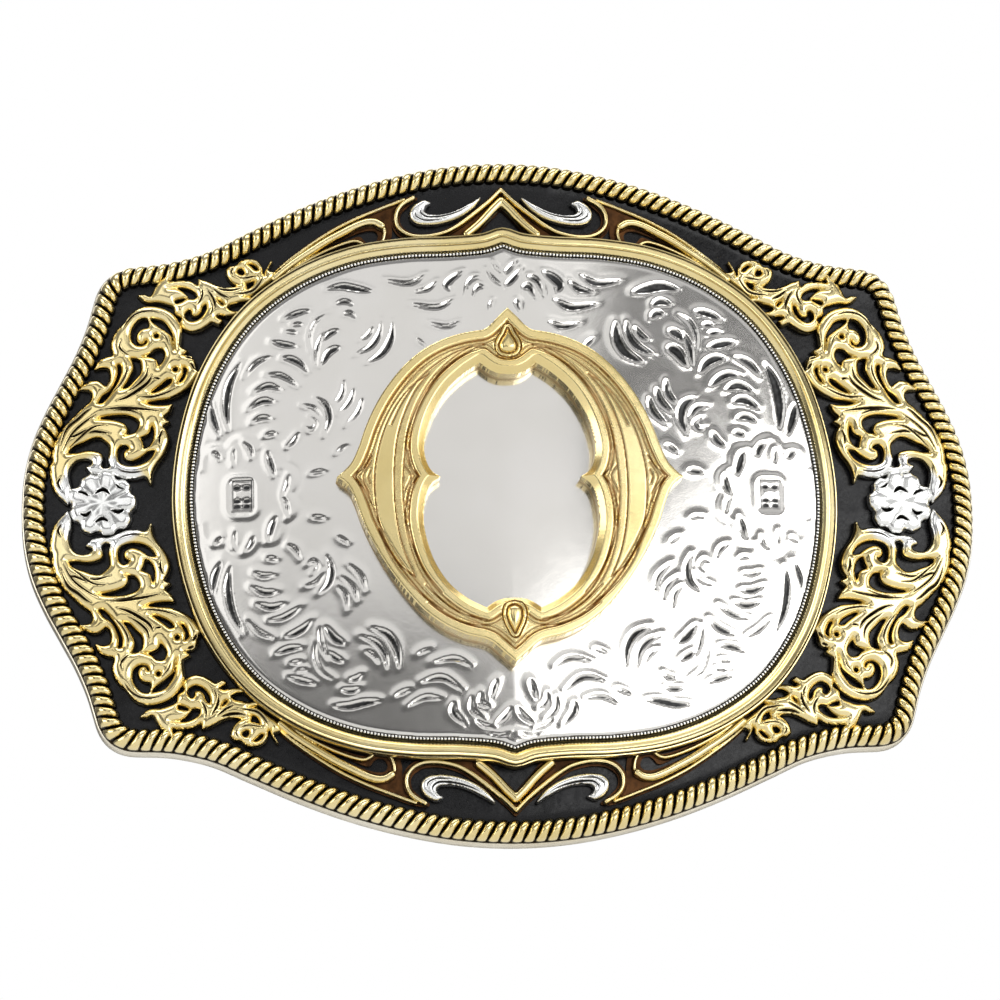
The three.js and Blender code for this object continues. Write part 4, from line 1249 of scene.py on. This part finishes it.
scroll = cast_relief(SCROLL, SCROLL_SLOTS, SCROLL_GROOVES)
sprig = cast_relief(SPRIG, SPRIG_SLOTS, SPRIG_GROOVES)
comma = cast_relief(COMMA, [], COMMA_GROOVES, reach=0.5, rise=0.75)
ribbon = ridge_relief([closed_curve(RIBBON)], RIBBON_SLOTS, RIBBON_RIDGES)
for place, (right, up) in QUARTERS.items():
    from_flower = np.hypot(scroll[0] - FLOWER_X, scroll[1] - FLOWER_Z * up)
    silvering = np.clip((SILVERED_REACH - from_flower) / 1.2, 0.0, 1.0)
    place_relief(f"scroll_cast_{place}", scroll, right, up, SCROLL_GOLD, [f"scroll_{place}"],
                 silvering)
    place_relief(f"sprig_cast_{place}", sprig, right, up, GOLD, [f"sprig_{place}"])
    place_relief(f"comma_cast_{place}", comma, right, up, SILVER, [f"comma_leaf_{place}"])
    place_relief(f"ribbon_cast_{place}", ribbon, right, up, RIBBON_GOLD, [f"ribbon_{place}"])

top_edge, foot_edge = smooth_runs(PEAK_HALF, 6)
peak_right = np.vstack([top_edge, foot_edge[1:]])
peak_outline = joined_up(np.vstack([peak_right, peak_right[::-1] * [-1, 1]]))
peak = ridge_relief([peak_outline], [], PEAK_RIDGES, mirror=True)
for place, up in (("top", 1), ("bottom", -1)):
    place_relief(f"peak_cast_{place}", peak, 1, up, RIBBON_GOLD, [f"peak_{place}"])

# Dark slots between the petals, as (points, width), from the middle of the flower.
PETAL_SLOTS = [
    ([(-0.75, 0.85), (-0.1, 1.35), (0.75, 0.95)], 0.46),
    ([(1.35, 0.75), (1.8, 1.1), (2.45, 1.25)], 0.38),
    ([(-2.1, -0.75), (-1.6, -1.0), (-0.85, -0.8)], 0.46),
    ([(1.1, -0.75), (1.6, -1.15), (2.2, -1.0)], 0.42),
    ([(-0.6, -1.9), (0.0, -1.6), (0.75, -1.95)], 0.42),
    ([(-1.35, 1.9), (-1.6, 1.5), (-2.2, 1.3)], 0.30),
]
FLOWER_RADIUS = 3.38
PETALS = 9


def flower():
    """A full rosette: broad petals that run into each other, with a few dark slots between."""
    count = 270
    angle = 2 * math.pi * np.arange(count + 1) / count
    wander = 0.10 * np.sin(2 * angle + 0.7) + 0.07 * np.sin(5 * angle)
    radius = FLOWER_RADIUS + wander - 0.34 * np.abs(np.cos(PETALS / 2 * angle)) ** 5
    outline = np.stack([radius * np.cos(angle), radius * np.sin(angle)], -1)
    grid = Grid(outline, 0.075)
    field = grid.signed([outline], 1.0)
    slots, _ = grid.cut_strokes(PETAL_SLOTS, 1.0)

    def profile(x, y, distance, cut):
        r = np.hypot(x, y)
        turn = np.arctan2(y, x)
        seam = np.abs(np.cos(PETALS / 2 * turn)) ** 6 * np.clip((r - 1.2) / 1.2, 0.0, 1.0)
        t = np.clip(distance / 0.7, 0.0, 1.0)
        swell = np.sqrt(1 - (1 - t) ** 2)
        inner = 0.05 * np.cos(5 * turn + 0.9) * np.exp(-((r - 1.2) / 0.6) ** 2)
        height = TRIM_BASE + 0.6 + 0.78 * swell - 0.13 * seam + inner - 1.4 * cut
        # Painted shade in the slots between petals and, more faintly, along the outer petal seams.
        patina_and_shade = np.clip(cut / 0.16, 0.0, 1.0)
        return height, np.maximum(patina_and_shade, 0.30 * seam * np.clip((r - 2.2) / 0.8, 0.0, 1.0))

    return relief_solid(grid, field, [slots], profile, TRIM_BASE, (0.25, 1.0))


blossom = flower()
for place, right in (("right", 1), ("left", -1)):
    u, v, h, patina_and_shade, faces = blossom
    moved = (u + FLOWER_X, v + FLOWER_Z, h, patina_and_shade, faces)
    place_relief(f"flower_cast_{place}", moved, right, 1, SILVER, [f"flower_{place}"])

# ---------------------------------------------------------------- the ring

RING_RISE = 0.3
# The ring's edges, as right halves from top to bottom.
RING_OUTER = [
    (0, 17.9), (1.0, 16.9), (1.75, 16.1), (2.4, 15.65), (3.3, 15.5), (4.8, 15.2), (6.8, 14.5),
    (8.7, 13.4), (10.5, 11.8), (12.1, 9.8), (13.3, 7.8), (14.2, 5.8), (14.9, 3.8), (15.6, 2.3),
    (16.3, 1.5), (17.05, 0.85), (17.05, 0.85), (16.2, 0.2), (15.7, -0.5), (15.2, -1.7),
    (14.5, -3.8), (13.4, -6.2), (12.0, -8.6), (10.4, -10.8), (8.6, -12.8), (6.7, -14.2),
    (4.7, -15.1), (2.9, -15.55), (2.2, -15.9), (1.2, -16.8), (0, -17.85),
]
RING_INNER = [
    (0, 11.2), (1.0, 11.3), (1.9, 11.7), (2.8, 12.4), (2.8, 12.4), (4.3, 11.4), (6.0, 9.8),
    (7.3, 7.8), (8.1, 5.8), (8.45, 3.8), (8.2, 2.3), (7.7, 1.4), (6.9, 0.85), (6.9, 0.85),
    (7.8, 0.2), (8.3, -0.8), (8.65, -3.2), (8.4, -5.2), (7.6, -7.7), (6.2, -9.9), (4.3, -11.5),
    (2.7, -12.3), (2.7, -12.3), (1.8, -11.7), (0.9, -11.4), (0, -11.35),
]
# The plain crescent on the right, between its two engraved edges.
CRESCENT_INNER = [
    (7.9, 11.2), (9.2, 9.6), (10.3, 7.4), (11.1, 4.8), (11.45, 2.0), (11.5, -1.0), (11.2, -4.2),
    (10.6, -6.8), (9.6, -9.3),
]
CRESCENT_OUTER = [
    (7.9, 11.2), (9.6, 9.9), (11.1, 8.1), (12.2, 6.0), (12.95, 3.6), (13.35, 1.2), (13.35, -1.3),
    (13.0, -3.8), (12.2, -6.2), (11.1, -8.0), (9.6, -9.3),
]
# The other engraved lines of the right half.
RING_LINES = [
    [(2.4, 14.1), (4.6, 13.6), (6.8, 12.4), (8.8, 10.7), (10.5, 8.4), (11.7, 6.0)],
    [(2.6, 13.7), (4.4, 13.0), (6.2, 11.8), (7.9, 9.9), (9.2, 7.6), (10.1, 5.0), (10.5, 2.2)],
    [(13.6, 3.0), (14.2, 2.0), (15.2, 0.85), (14.4, -0.4), (13.8, -1.8)],
    [(13.75, 2.3), (14.5, 0.85), (13.9, -0.9)],
    [(13.75, 1.5), (14.0, 0.85), (13.8, 0.1)],
    [(10.55, 2.0), (9.85, 0.85), (10.5, -0.7)],
    [(9.1, 0.85), (9.8, 1.8), (10.1, 3.4)],
    [(9.1, 0.85), (9.9, -0.3), (10.3, -2.2)],
    [(10.5, 2.2), (10.65, -0.6), (10.4, -3.6), (9.7, -6.4), (8.6, -8.8), (7.0, -10.9)],
    [(13.0, -4.4), (12.1, -7.0), (10.8, -9.1), (9.1, -11.0), (7.0, -12.6)],
    [(2.7, -13.6), (4.8, -13.1), (6.8, -11.9), (8.6, -10.1)],
    [(2.5, -14.2), (4.6, -14.0), (6.6, -13.2), (8.4, -11.9)],
]


def whole_from_half(half):
    """A loop on the ring from its right half, with the sharp points kept."""
    runs = smooth_runs(half, 8)
    right = np.vstack([runs[0]] + [run[1:] for run in runs[1:]])
    return joined_up(np.vstack([right, right[-2:0:-1] * [-1, 1]]) + [0, RING_RISE])


# The two drop bosses: right half of each, from its pointed end round to the other.
TOP_DROP = [(0, 15.75), (0.28, 15.1), (0.62, 14.55), (0.80, 14.05), (0.62, 13.5), (0, 13.3)]
LOW_DROP = [(0, -12.2), (0.50, -12.4), (0.68, -13.0), (0.52, -13.8), (0.24, -14.4), (0, -14.9)]


def ring():
    """The cusped ring: flat borders, engraved lines, plain crescents and two drop bosses."""
    outer = whole_from_half(RING_OUTER)
    inner = whole_from_half(RING_INNER)
    grid = Grid(outer, 0.082)
    field = grid.signed([outer, inner], 2.2)
    from_outer = grid.distance([outer], 2.2)
    from_inner = grid.distance([inner], 2.6)
    drop = grid.signed([whole_from_half(TOP_DROP), whole_from_half(LOW_DROP)], 1.6)
    lines = []
    crescents = []
    for side in (1, -1):
        for points in RING_LINES + [CRESCENT_INNER, CRESCENT_OUTER]:
            lines.append(open_curve([(u * side, v + RING_RISE) for u, v in points], 6))
        a, b = lines[-2:]
        crescents.append(joined_up(np.vstack([a, b[::-1]])))
    engraved = grid.distance(lines, 1.0)
    plain = np.where(grid.inside(crescents), grid.distance(crescents, 0.6), 0.0)
    base = PANEL_EDGE - 0.2

    def groove(distance, at, half):
        """A smooth groove at a distance from a line, as 1 at its middle and 0 outside it."""
        return np.clip(1 - ((distance - at) / half) ** 2, 0.0, 1.0) ** 2

    def profile(x, y, distance, d_outer, d_inner, d_line, in_crescent, in_drop):
        bevel = np.clip(d_inner / 0.66, 0.0, 1.0)
        shoulder = np.clip(d_outer / 0.14, 0.0, 1.0)
        height = RING_TOP - 0.68 * (1 - bevel) - 0.12 * (1 - shoulder) ** 2
        clear = in_drop < -0.66
        wide = np.where(clear, groove(d_outer, 1.00, 0.19), 0.0)
        wide_in = np.where(clear, groove(d_inner, 1.42, 0.19), 0.0)
        thin = np.maximum(groove(d_outer, 1.38, 0.14), groove(d_inner, 1.80, 0.14))
        thin = np.where(clear, thin, 0.0)
        fine = np.where(clear, groove(d_line, 0.0, 0.16), 0.0)
        rings = np.maximum(groove(-in_drop, 0.10, 0.14), groove(-in_drop, 0.52, 0.12))
        t = np.clip(in_drop / 0.6, 0.0, 1.0)
        knob = np.where(in_drop > 0, 0.50 * np.sqrt(1 - (1 - t) ** 2) - 0.22, 0.0)
        height = height - 0.22 * wide - 0.20 * wide_in - 0.13 * thin - 0.13 * fine
        height = height - 0.24 * rings + knob
        crescent = np.clip(in_crescent / 0.2, 0.0, 1.0)
        filled = (d_outer > 1.05) & (d_inner > 1.45) & (in_crescent <= 0) & clear
        height = height - 0.07 * filled - 0.05 * crescent
        # Painted shade with antiquing in the engraved grooves and the rings round the drops; the
        # filled bands get a lighter share as the ring's own tint.
        patina_and_shade = np.maximum.reduce([
            0.85 * wide, 0.80 * wide_in, 0.72 * thin, 0.78 * fine, 0.95 * rings,
            np.where(filled, 0.41, 0.0),
        ])
        return height, np.clip(patina_and_shade, 0.0, 1.0)

    u, v, h, patina_and_shade, faces = relief_solid(
        grid, field, [from_outer, from_inner, engraved, plain, drop], profile, base, (0.05, 0.7))
    make_object("ring_cast", bent(u, v, h), faces, patina_and_shade, "buckle",
                RING_GOLD, ["cusped_ring"], sharp=50)


ring()

# ---------------------------------------------------------------- fittings on the back


def turned(points, origin, axis_x, axis_y, axis_z):
    """Points in a piece's own axes, moved to the object's axes."""
    own_axes = np.array([axis_x, axis_y, axis_z], float)
    return np.asarray(points) @ own_axes + np.asarray(origin, float)


def rounded_block(outline, holes, thickness, bevel):
    """A flat piece with softened edges, and holes. Returns points and faces in its own axes."""
    layers = [(bevel, 0.0), (0.35 * bevel, 0.12 * bevel), (0.0, bevel), (0.0, thickness - bevel),
              (0.35 * bevel, thickness - 0.12 * bevel), (bevel, thickness)]
    points = []
    faces = []
    lower_loops = []
    upper_loops = []
    for line, sign in [(outline, -1.0)] + [(hole, 1.0) for hole in holes]:
        start = len(points)
        count = len(line)
        for inset, z in layers:
            points.extend((x, y, z) for x, y in offset_line(line, sign * inset))
        for r in range(len(layers) - 1):
            for i in range(count):
                j = (i + 1) % count
                a, b = start + r * count, start + (r + 1) * count
                face = [a + i, a + j, b + j, b + i]
                faces.append(face if sign < 0 else face[::-1])
        lower_loops.append(list(range(start, start + count)))
        upper_loops.append(list(range(len(points) - count, len(points))))
    points = np.array(points)
    faces += [face[::-1] for face in flat_faces(points[:, 0], points[:, 1], lower_loops)]
    faces += flat_faces(points[:, 0], points[:, 1], upper_loops)
    return points, faces


PLAQUE_CORNER = 2.0


def back_plaque():
    """The blank plaque: a rounded plate with a soft edge and a fine sunk border line."""
    low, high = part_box("back_plaque")
    half_length = (high.x - low.x) / 2 / MM
    half_height = (high.z - low.z) / 2 / MM
    count = 220
    line = even_points(
        np.array(rounded_rectangle(half_length, half_height, PLAQUE_CORNER, 10)), count)
    # Distance outside the edge, place along the object's Y and painted shade (darkening), from front
    # to back.
    section = [
        (0.0, -1.0, 1.0), (0.0, -0.18, 0.1), (-0.05, -0.05, 0.0), (-0.18, 0.0, 0.0),
        (-0.75, 0.0, 0.0), (-0.85, -0.09, 0.8), (-0.98, -0.09, 0.8), (-1.08, 0.0, 0.0),
        (-1.4, 0.0, 0.0), (-1.75, 0.0, 0.0),
    ]
    rows = []
    for out, y, _ in section:
        p = offset_line(line, out)
        rows.append(np.stack([p[:, 0], np.full(count, y), p[:, 1]], -1))
    points, faces = loft(rows)
    patina_and_shade = np.repeat([dark for _, _, dark in section], count)
    make_object("plaque_plate", points, faces, patina_and_shade, "buckle",
                NICKEL, ["back_plaque"], sharp=40)


back_plaque()

HINGE = frame["record"]["behaviour"]["joints"][0]["pos_m"]
HINGE_X = HINGE[0] / MM
HINGE_Y = HINGE[1] / MM
LOOP_SECTION = 2.6
LOOP_CORNER = 4.0
LOOP_EDGE = 0.55      # radius of the bar's long edges
ARM_END = 0.3         # length of the taper at the end of an arm
ARM_TAPER = 0.82
PIN_RADIUS = 1.0
PIN_LENGTH = 5.0
PIN_ROOT = 0.5        # how far a pin runs into the loop's arm
PIN_TIP = 0.25
LUG_HOLE_RADIUS = 1.3
LUG_EDGE = 0.28


def belt_loop():
    """The swinging loop: a rounded square bar bent to a C, with turned pins at its ends."""
    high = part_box("belt_loop")[1]
    bar = high.x / MM - HINGE_X
    pin_end = high.z / MM
    arm = pin_end - PIN_LENGTH
    half = LOOP_SECTION / 2
    centre_bar = bar - half
    centre_arm = arm - half
    bend_radius = LOOP_CORNER - half
    path = [(-half, centre_arm)]
    path += [(x, centre_arm) for x in np.linspace(1.0, centre_bar - bend_radius, 6)]
    path += arc(centre_bar - bend_radius, centre_arm - bend_radius, bend_radius, 90, 0, 12)[1:]
    path += [(centre_bar, z) for z in np.linspace(centre_arm - bend_radius, 0.0, 10)[1:]]
    path = np.array(path)
    path = np.vstack([path, path[-2::-1] * [1, -1]])
    along = np.gradient(path, axis=0)
    along /= np.linalg.norm(along, axis=1)[:, None]
    out = np.stack([-along[:, 1], along[:, 0]], -1)
    section = rounded_rectangle(half, half, LOOP_EDGE, 6)
    rows = []
    for p, o in zip(path, out):
        rows.append(np.array([
            (HINGE_X + p[0] + o[0] * a, HINGE_Y + b, p[1] + o[1] * a) for a, b in section
        ]))
    ends = []
    for row in (rows[0], rows[-1]):
        middle = row.mean(0)
        end = middle + (row - middle) * ARM_TAPER
        row[:, 0] = HINGE_X - half + ARM_END
        end[:, 0] = HINGE_X - half
        ends.append(end)
    points, faces = loft([ends[0]] + rows + [ends[1]])
    make_object("loop_bar", points, faces, 0.0, "belt_loop", NICKEL,
                ["belt_loop"], sharp=45)
    length = PIN_LENGTH + PIN_ROOT
    tip = length - PIN_TIP
    profile = [(AXIS, 0.0), (PIN_RADIUS - 0.05, 0.0), (PIN_RADIUS, 0.1)]
    profile += [(PIN_RADIUS, h) for h in (1.5, 3.0, tip - 0.1)]
    profile += [(PIN_RADIUS - 0.06, tip), (PIN_RADIUS - PIN_TIP, length), (AXIS, length)]
    pin_points, pin_faces = revolve(profile, 36)
    for name, side in (("loop_pin_upper", 1), ("loop_pin_lower", -1)):
        placed = turned(pin_points, (HINGE_X, HINGE_Y, side * (pin_end - length)),
                        (1, 0, 0), (0, side, 0), (0, 0, side))
        make_object(name, placed, pin_faces, 0.0, "belt_loop", NICKEL, [], sharp=40)


belt_loop()


def loop_lug(place):
    """A lug: a D-shaped block with a softened edge and a pin hole."""
    low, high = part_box(f"loop_lug_{place}")
    half = (high.x - low.x) / 2 / MM
    length = (high.z - low.z) / MM
    foot = low.y / MM - HINGE_Y
    outline = [(-half, foot), (-half * 0.3, foot), (half * 0.3, foot), (half, foot)]
    outline += [(half, h) for h in np.linspace(foot, 0.0, 6)[1:-1]]
    outline += arc(0.0, 0.0, half, 0, 180, 24)
    outline += [(-half, h) for h in np.linspace(0.0, foot, 6)[1:-1]]
    outline = even_points(np.array(outline), 96)
    hole = np.array(arc(0.0, 0.0, LUG_HOLE_RADIUS, 0, 360, 41)[:-1])
    points, faces = rounded_block(outline, [hole], length, LUG_EDGE)
    placed = turned(points, (HINGE_X, HINGE_Y, high.z / MM), (1, 0, 0), (0, 1, 0), (0, 0, -1))
    faces = [face[::-1] for face in faces]
    make_object(f"lug_block_{place}", placed, faces, 0.0, "buckle", NICKEL,
                [f"loop_lug_{place}"], sharp=40)


for place in ("upper", "lower"):
    loop_lug(place)


PAD_SIDES = 72
HOOK_SIDES = 56
HOOK_LENGTH = 7.8
HOOK_RADIUS = 2.1
HOOK_HEAD_RADIUS = 2.5
HOOK_HEAD_FLAT = 1.3
HOOK_HEAD_HEIGHT = 1.9


def hook():
    """The hook and its pad, with the solder fillet between them."""
    low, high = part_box("hook_pad")
    centre_x = (low.x + high.x) / 2 / MM
    radius = (high.x - low.x) / 2 / MM
    face_y = high.y / MM
    foot = low.y / MM
    # Radius, place along the object's Y and painted shade (darkening), from the plate to the pad's
    # face.
    profile = [
        (AXIS, foot, 0.8), (radius - 0.1, foot, 0.8), (radius, foot + 0.1, 0.5),
        (radius, face_y - 0.45, 0.0), (radius - 0.12, face_y - 0.16, 0.0),
        (radius - 0.42, face_y, 0.0), (radius - 0.9, face_y, 0.0),
        (radius - 1.0, face_y - 0.07, 0.7), (radius - 1.1, face_y, 0.0), (1.0, face_y, 0.0),
        (AXIS, face_y, 0.0),
    ]
    points, faces = revolve([(r, y) for r, y, _ in profile], PAD_SIDES)
    patina_and_shade = np.repeat([dark for _, _, dark in profile], PAD_SIDES)
    placed = turned(points, (centre_x, 0.0, 0.0), (1, 0, 0), (0, 0, -1), (0, 1, 0))
    make_object("hook_pad_turned", placed, faces, patina_and_shade, "buckle", NICKEL,
                ["hook_pad"], sharp=40)
    mount = [m for m in frame["record"]["mounts"] if m["name"] == "hook_head_face"][0]
    axis = np.array(mount["axis"], float)
    axis /= np.linalg.norm(axis)
    top = np.array(mount["pos_m"]) / MM
    shaft = HOOK_RADIUS
    profile = [
        (AXIS, -0.55), (shaft + 0.75, -0.55), (shaft + 0.42, 0.1), (shaft + 0.14, 0.5),
        (shaft, 1.0), (shaft, 2.2), (shaft, 3.6), (shaft - 0.04, 4.6), (shaft + 0.08, 5.1),
        (HOOK_HEAD_RADIUS - 0.08, 5.6), (HOOK_HEAD_RADIUS, 5.95),
    ]
    head_foot = HOOK_LENGTH - HOOK_HEAD_HEIGHT
    for k in range(1, 11):
        angle = math.pi / 2 * k / 10
        out = HOOK_HEAD_FLAT + (HOOK_HEAD_RADIUS - HOOK_HEAD_FLAT) * math.cos(angle)
        profile.append((out, head_foot + HOOK_HEAD_HEIGHT * math.sin(angle)))
    profile += [(0.7, HOOK_LENGTH), (AXIS, HOOK_LENGTH)]
    points, faces = revolve(profile, HOOK_SIDES)
    across = np.array([axis[1], -axis[0], 0.0])
    placed = turned(points, top - axis * HOOK_LENGTH, across, (0, 0, -1), axis)
    heights = np.repeat([h for _, h in profile], HOOK_SIDES)
    # Painted shade: the hook darkens towards its foot, where it meets the pad.
    patina_and_shade = np.clip((0.25 - heights) / 0.6, 0.0, 0.8)
    make_object("hook_turned", placed, faces, patina_and_shade, "buckle", NICKEL,
                ["hook_post"], sharp=40)


hook()

# ---------------------------------------------------------------- floor and light

# A pale disc well below the buckle, in metres.
FLOOR_Z = -0.16
FLOOR_RADIUS = 0.9
FLOOR_SIDES = 96

floor_angles = [2 * math.pi * i / FLOOR_SIDES for i in range(FLOOR_SIDES)]
floor_rim = [(FLOOR_RADIUS * math.cos(a), FLOOR_RADIUS * math.sin(a), FLOOR_Z) for a in floor_angles]
floor_mesh = bpy.data.meshes.new("floor")
floor_mesh.from_pydata(floor_rim, [], [list(range(FLOOR_SIDES))])
pale = MaterialNodes("pale_floor")
pale.shader.inputs["Roughness"].default_value = 0.85
pale_tones = [(0.3, (0.80, 0.80, 0.79)), (0.7, (0.83, 0.83, 0.82))]
pale.link(pale.ramp(pale.noise(3.0, 2.0), pale_tones), pale.shader.inputs["Base Color"])
floor_mesh.materials.append(pale.material)
floor = bpy.data.objects.new("floor", floor_mesh)
bpy.context.scene.collection.objects.link(floor)

# The world is white behind the object, and a soft grey that brightens upwards where it lights it.
WORLD_GREYS = [(0.0, 0.05), (0.42, 0.08), (0.52, 0.14), (0.72, 0.22), (1.0, 0.40)]

world = bpy.data.worlds.new("studio")
bpy.context.scene.world = world
world.use_nodes = True
world.node_tree.nodes.clear()
sky = Nodes(world.node_tree)
seen = sky.add("ShaderNodeBackground")
seen.inputs["Color"].default_value = (1.0, 1.0, 1.0, 1.0)
lit = sky.add("ShaderNodeBackground")
separate = sky.add("ShaderNodeSeparateXYZ")
sky.link(sky.add("ShaderNodeTexCoord").outputs["Generated"], separate.inputs["Vector"])
rise = sky.math("ADD", sky.math("MULTIPLY", separate.outputs["Z"], 0.5), 0.5)
greys = [(position, (grey, grey, grey * 1.01)) for position, grey in WORLD_GREYS]
sky.link(sky.ramp(rise, greys), lit.inputs["Color"])
blend = sky.add("ShaderNodeMixShader")
sky.link(sky.add("ShaderNodeLightPath").outputs["Is Camera Ray"], blend.inputs["Fac"])
sky.link(lit.outputs["Background"], blend.inputs[1])
sky.link(seen.outputs["Background"], blend.inputs[2])
sky.link(blend.outputs["Shader"], sky.add("ShaderNodeOutputWorld").inputs["Surface"])


def soft_light(name, azimuth, elevation, distance, width, height, radiance, roll=0.0):
    """A rectangular soft light that faces the buckle, in degrees and metres.

    Azimuth 0 is in front of the face.
    """
    a = math.radians(azimuth)
    e = math.radians(elevation)
    direction = Vector((math.sin(a) * math.cos(e), -math.cos(a) * math.cos(e), math.sin(e)))
    data = bpy.data.lights.new(name, "AREA")
    data.shape = "RECTANGLE"
    data.size = width
    data.size_y = height
    data.energy = radiance * width * height * math.pi
    light = bpy.data.objects.new(name, data)
    light.matrix_world = (Matrix.Translation(direction * distance)
                          @ direction.to_track_quat("Z", "Y").to_matrix().to_4x4()
                          @ Matrix.Rotation(math.radians(roll), 4, "Z"))
    light.visible_camera = False
    bpy.context.scene.collection.objects.link(light)


soft_light("key_right", 36, 3.3, 1.0, 1.05, 0.46, 3.4, roll=12.0)
soft_light("left_box", -3, 19, 1.0, 0.54, 0.34, 0.70, roll=-4.0)
soft_light("left_wing", -30, 16, 1.0, 0.38, 0.44, 1.10)
soft_light("upper_right_card", 32, 31, 1.0, 0.75, 0.30, 0.42)
soft_light("overhead", 0, 80, 1.0, 1.3, 0.50, 3.0)
soft_light("left_side", -84, 2, 1.0, 0.6, 0.9, 2.8)
soft_light("right_side", 92, 8, 1.0, 0.5, 0.8, 2.0)
soft_light("back_fill", 180, 30, 1.4, 1.2, 0.8, 1.3)
soft_light("back_side", 118, 20, 1.4, 0.7, 0.8, 1.2)
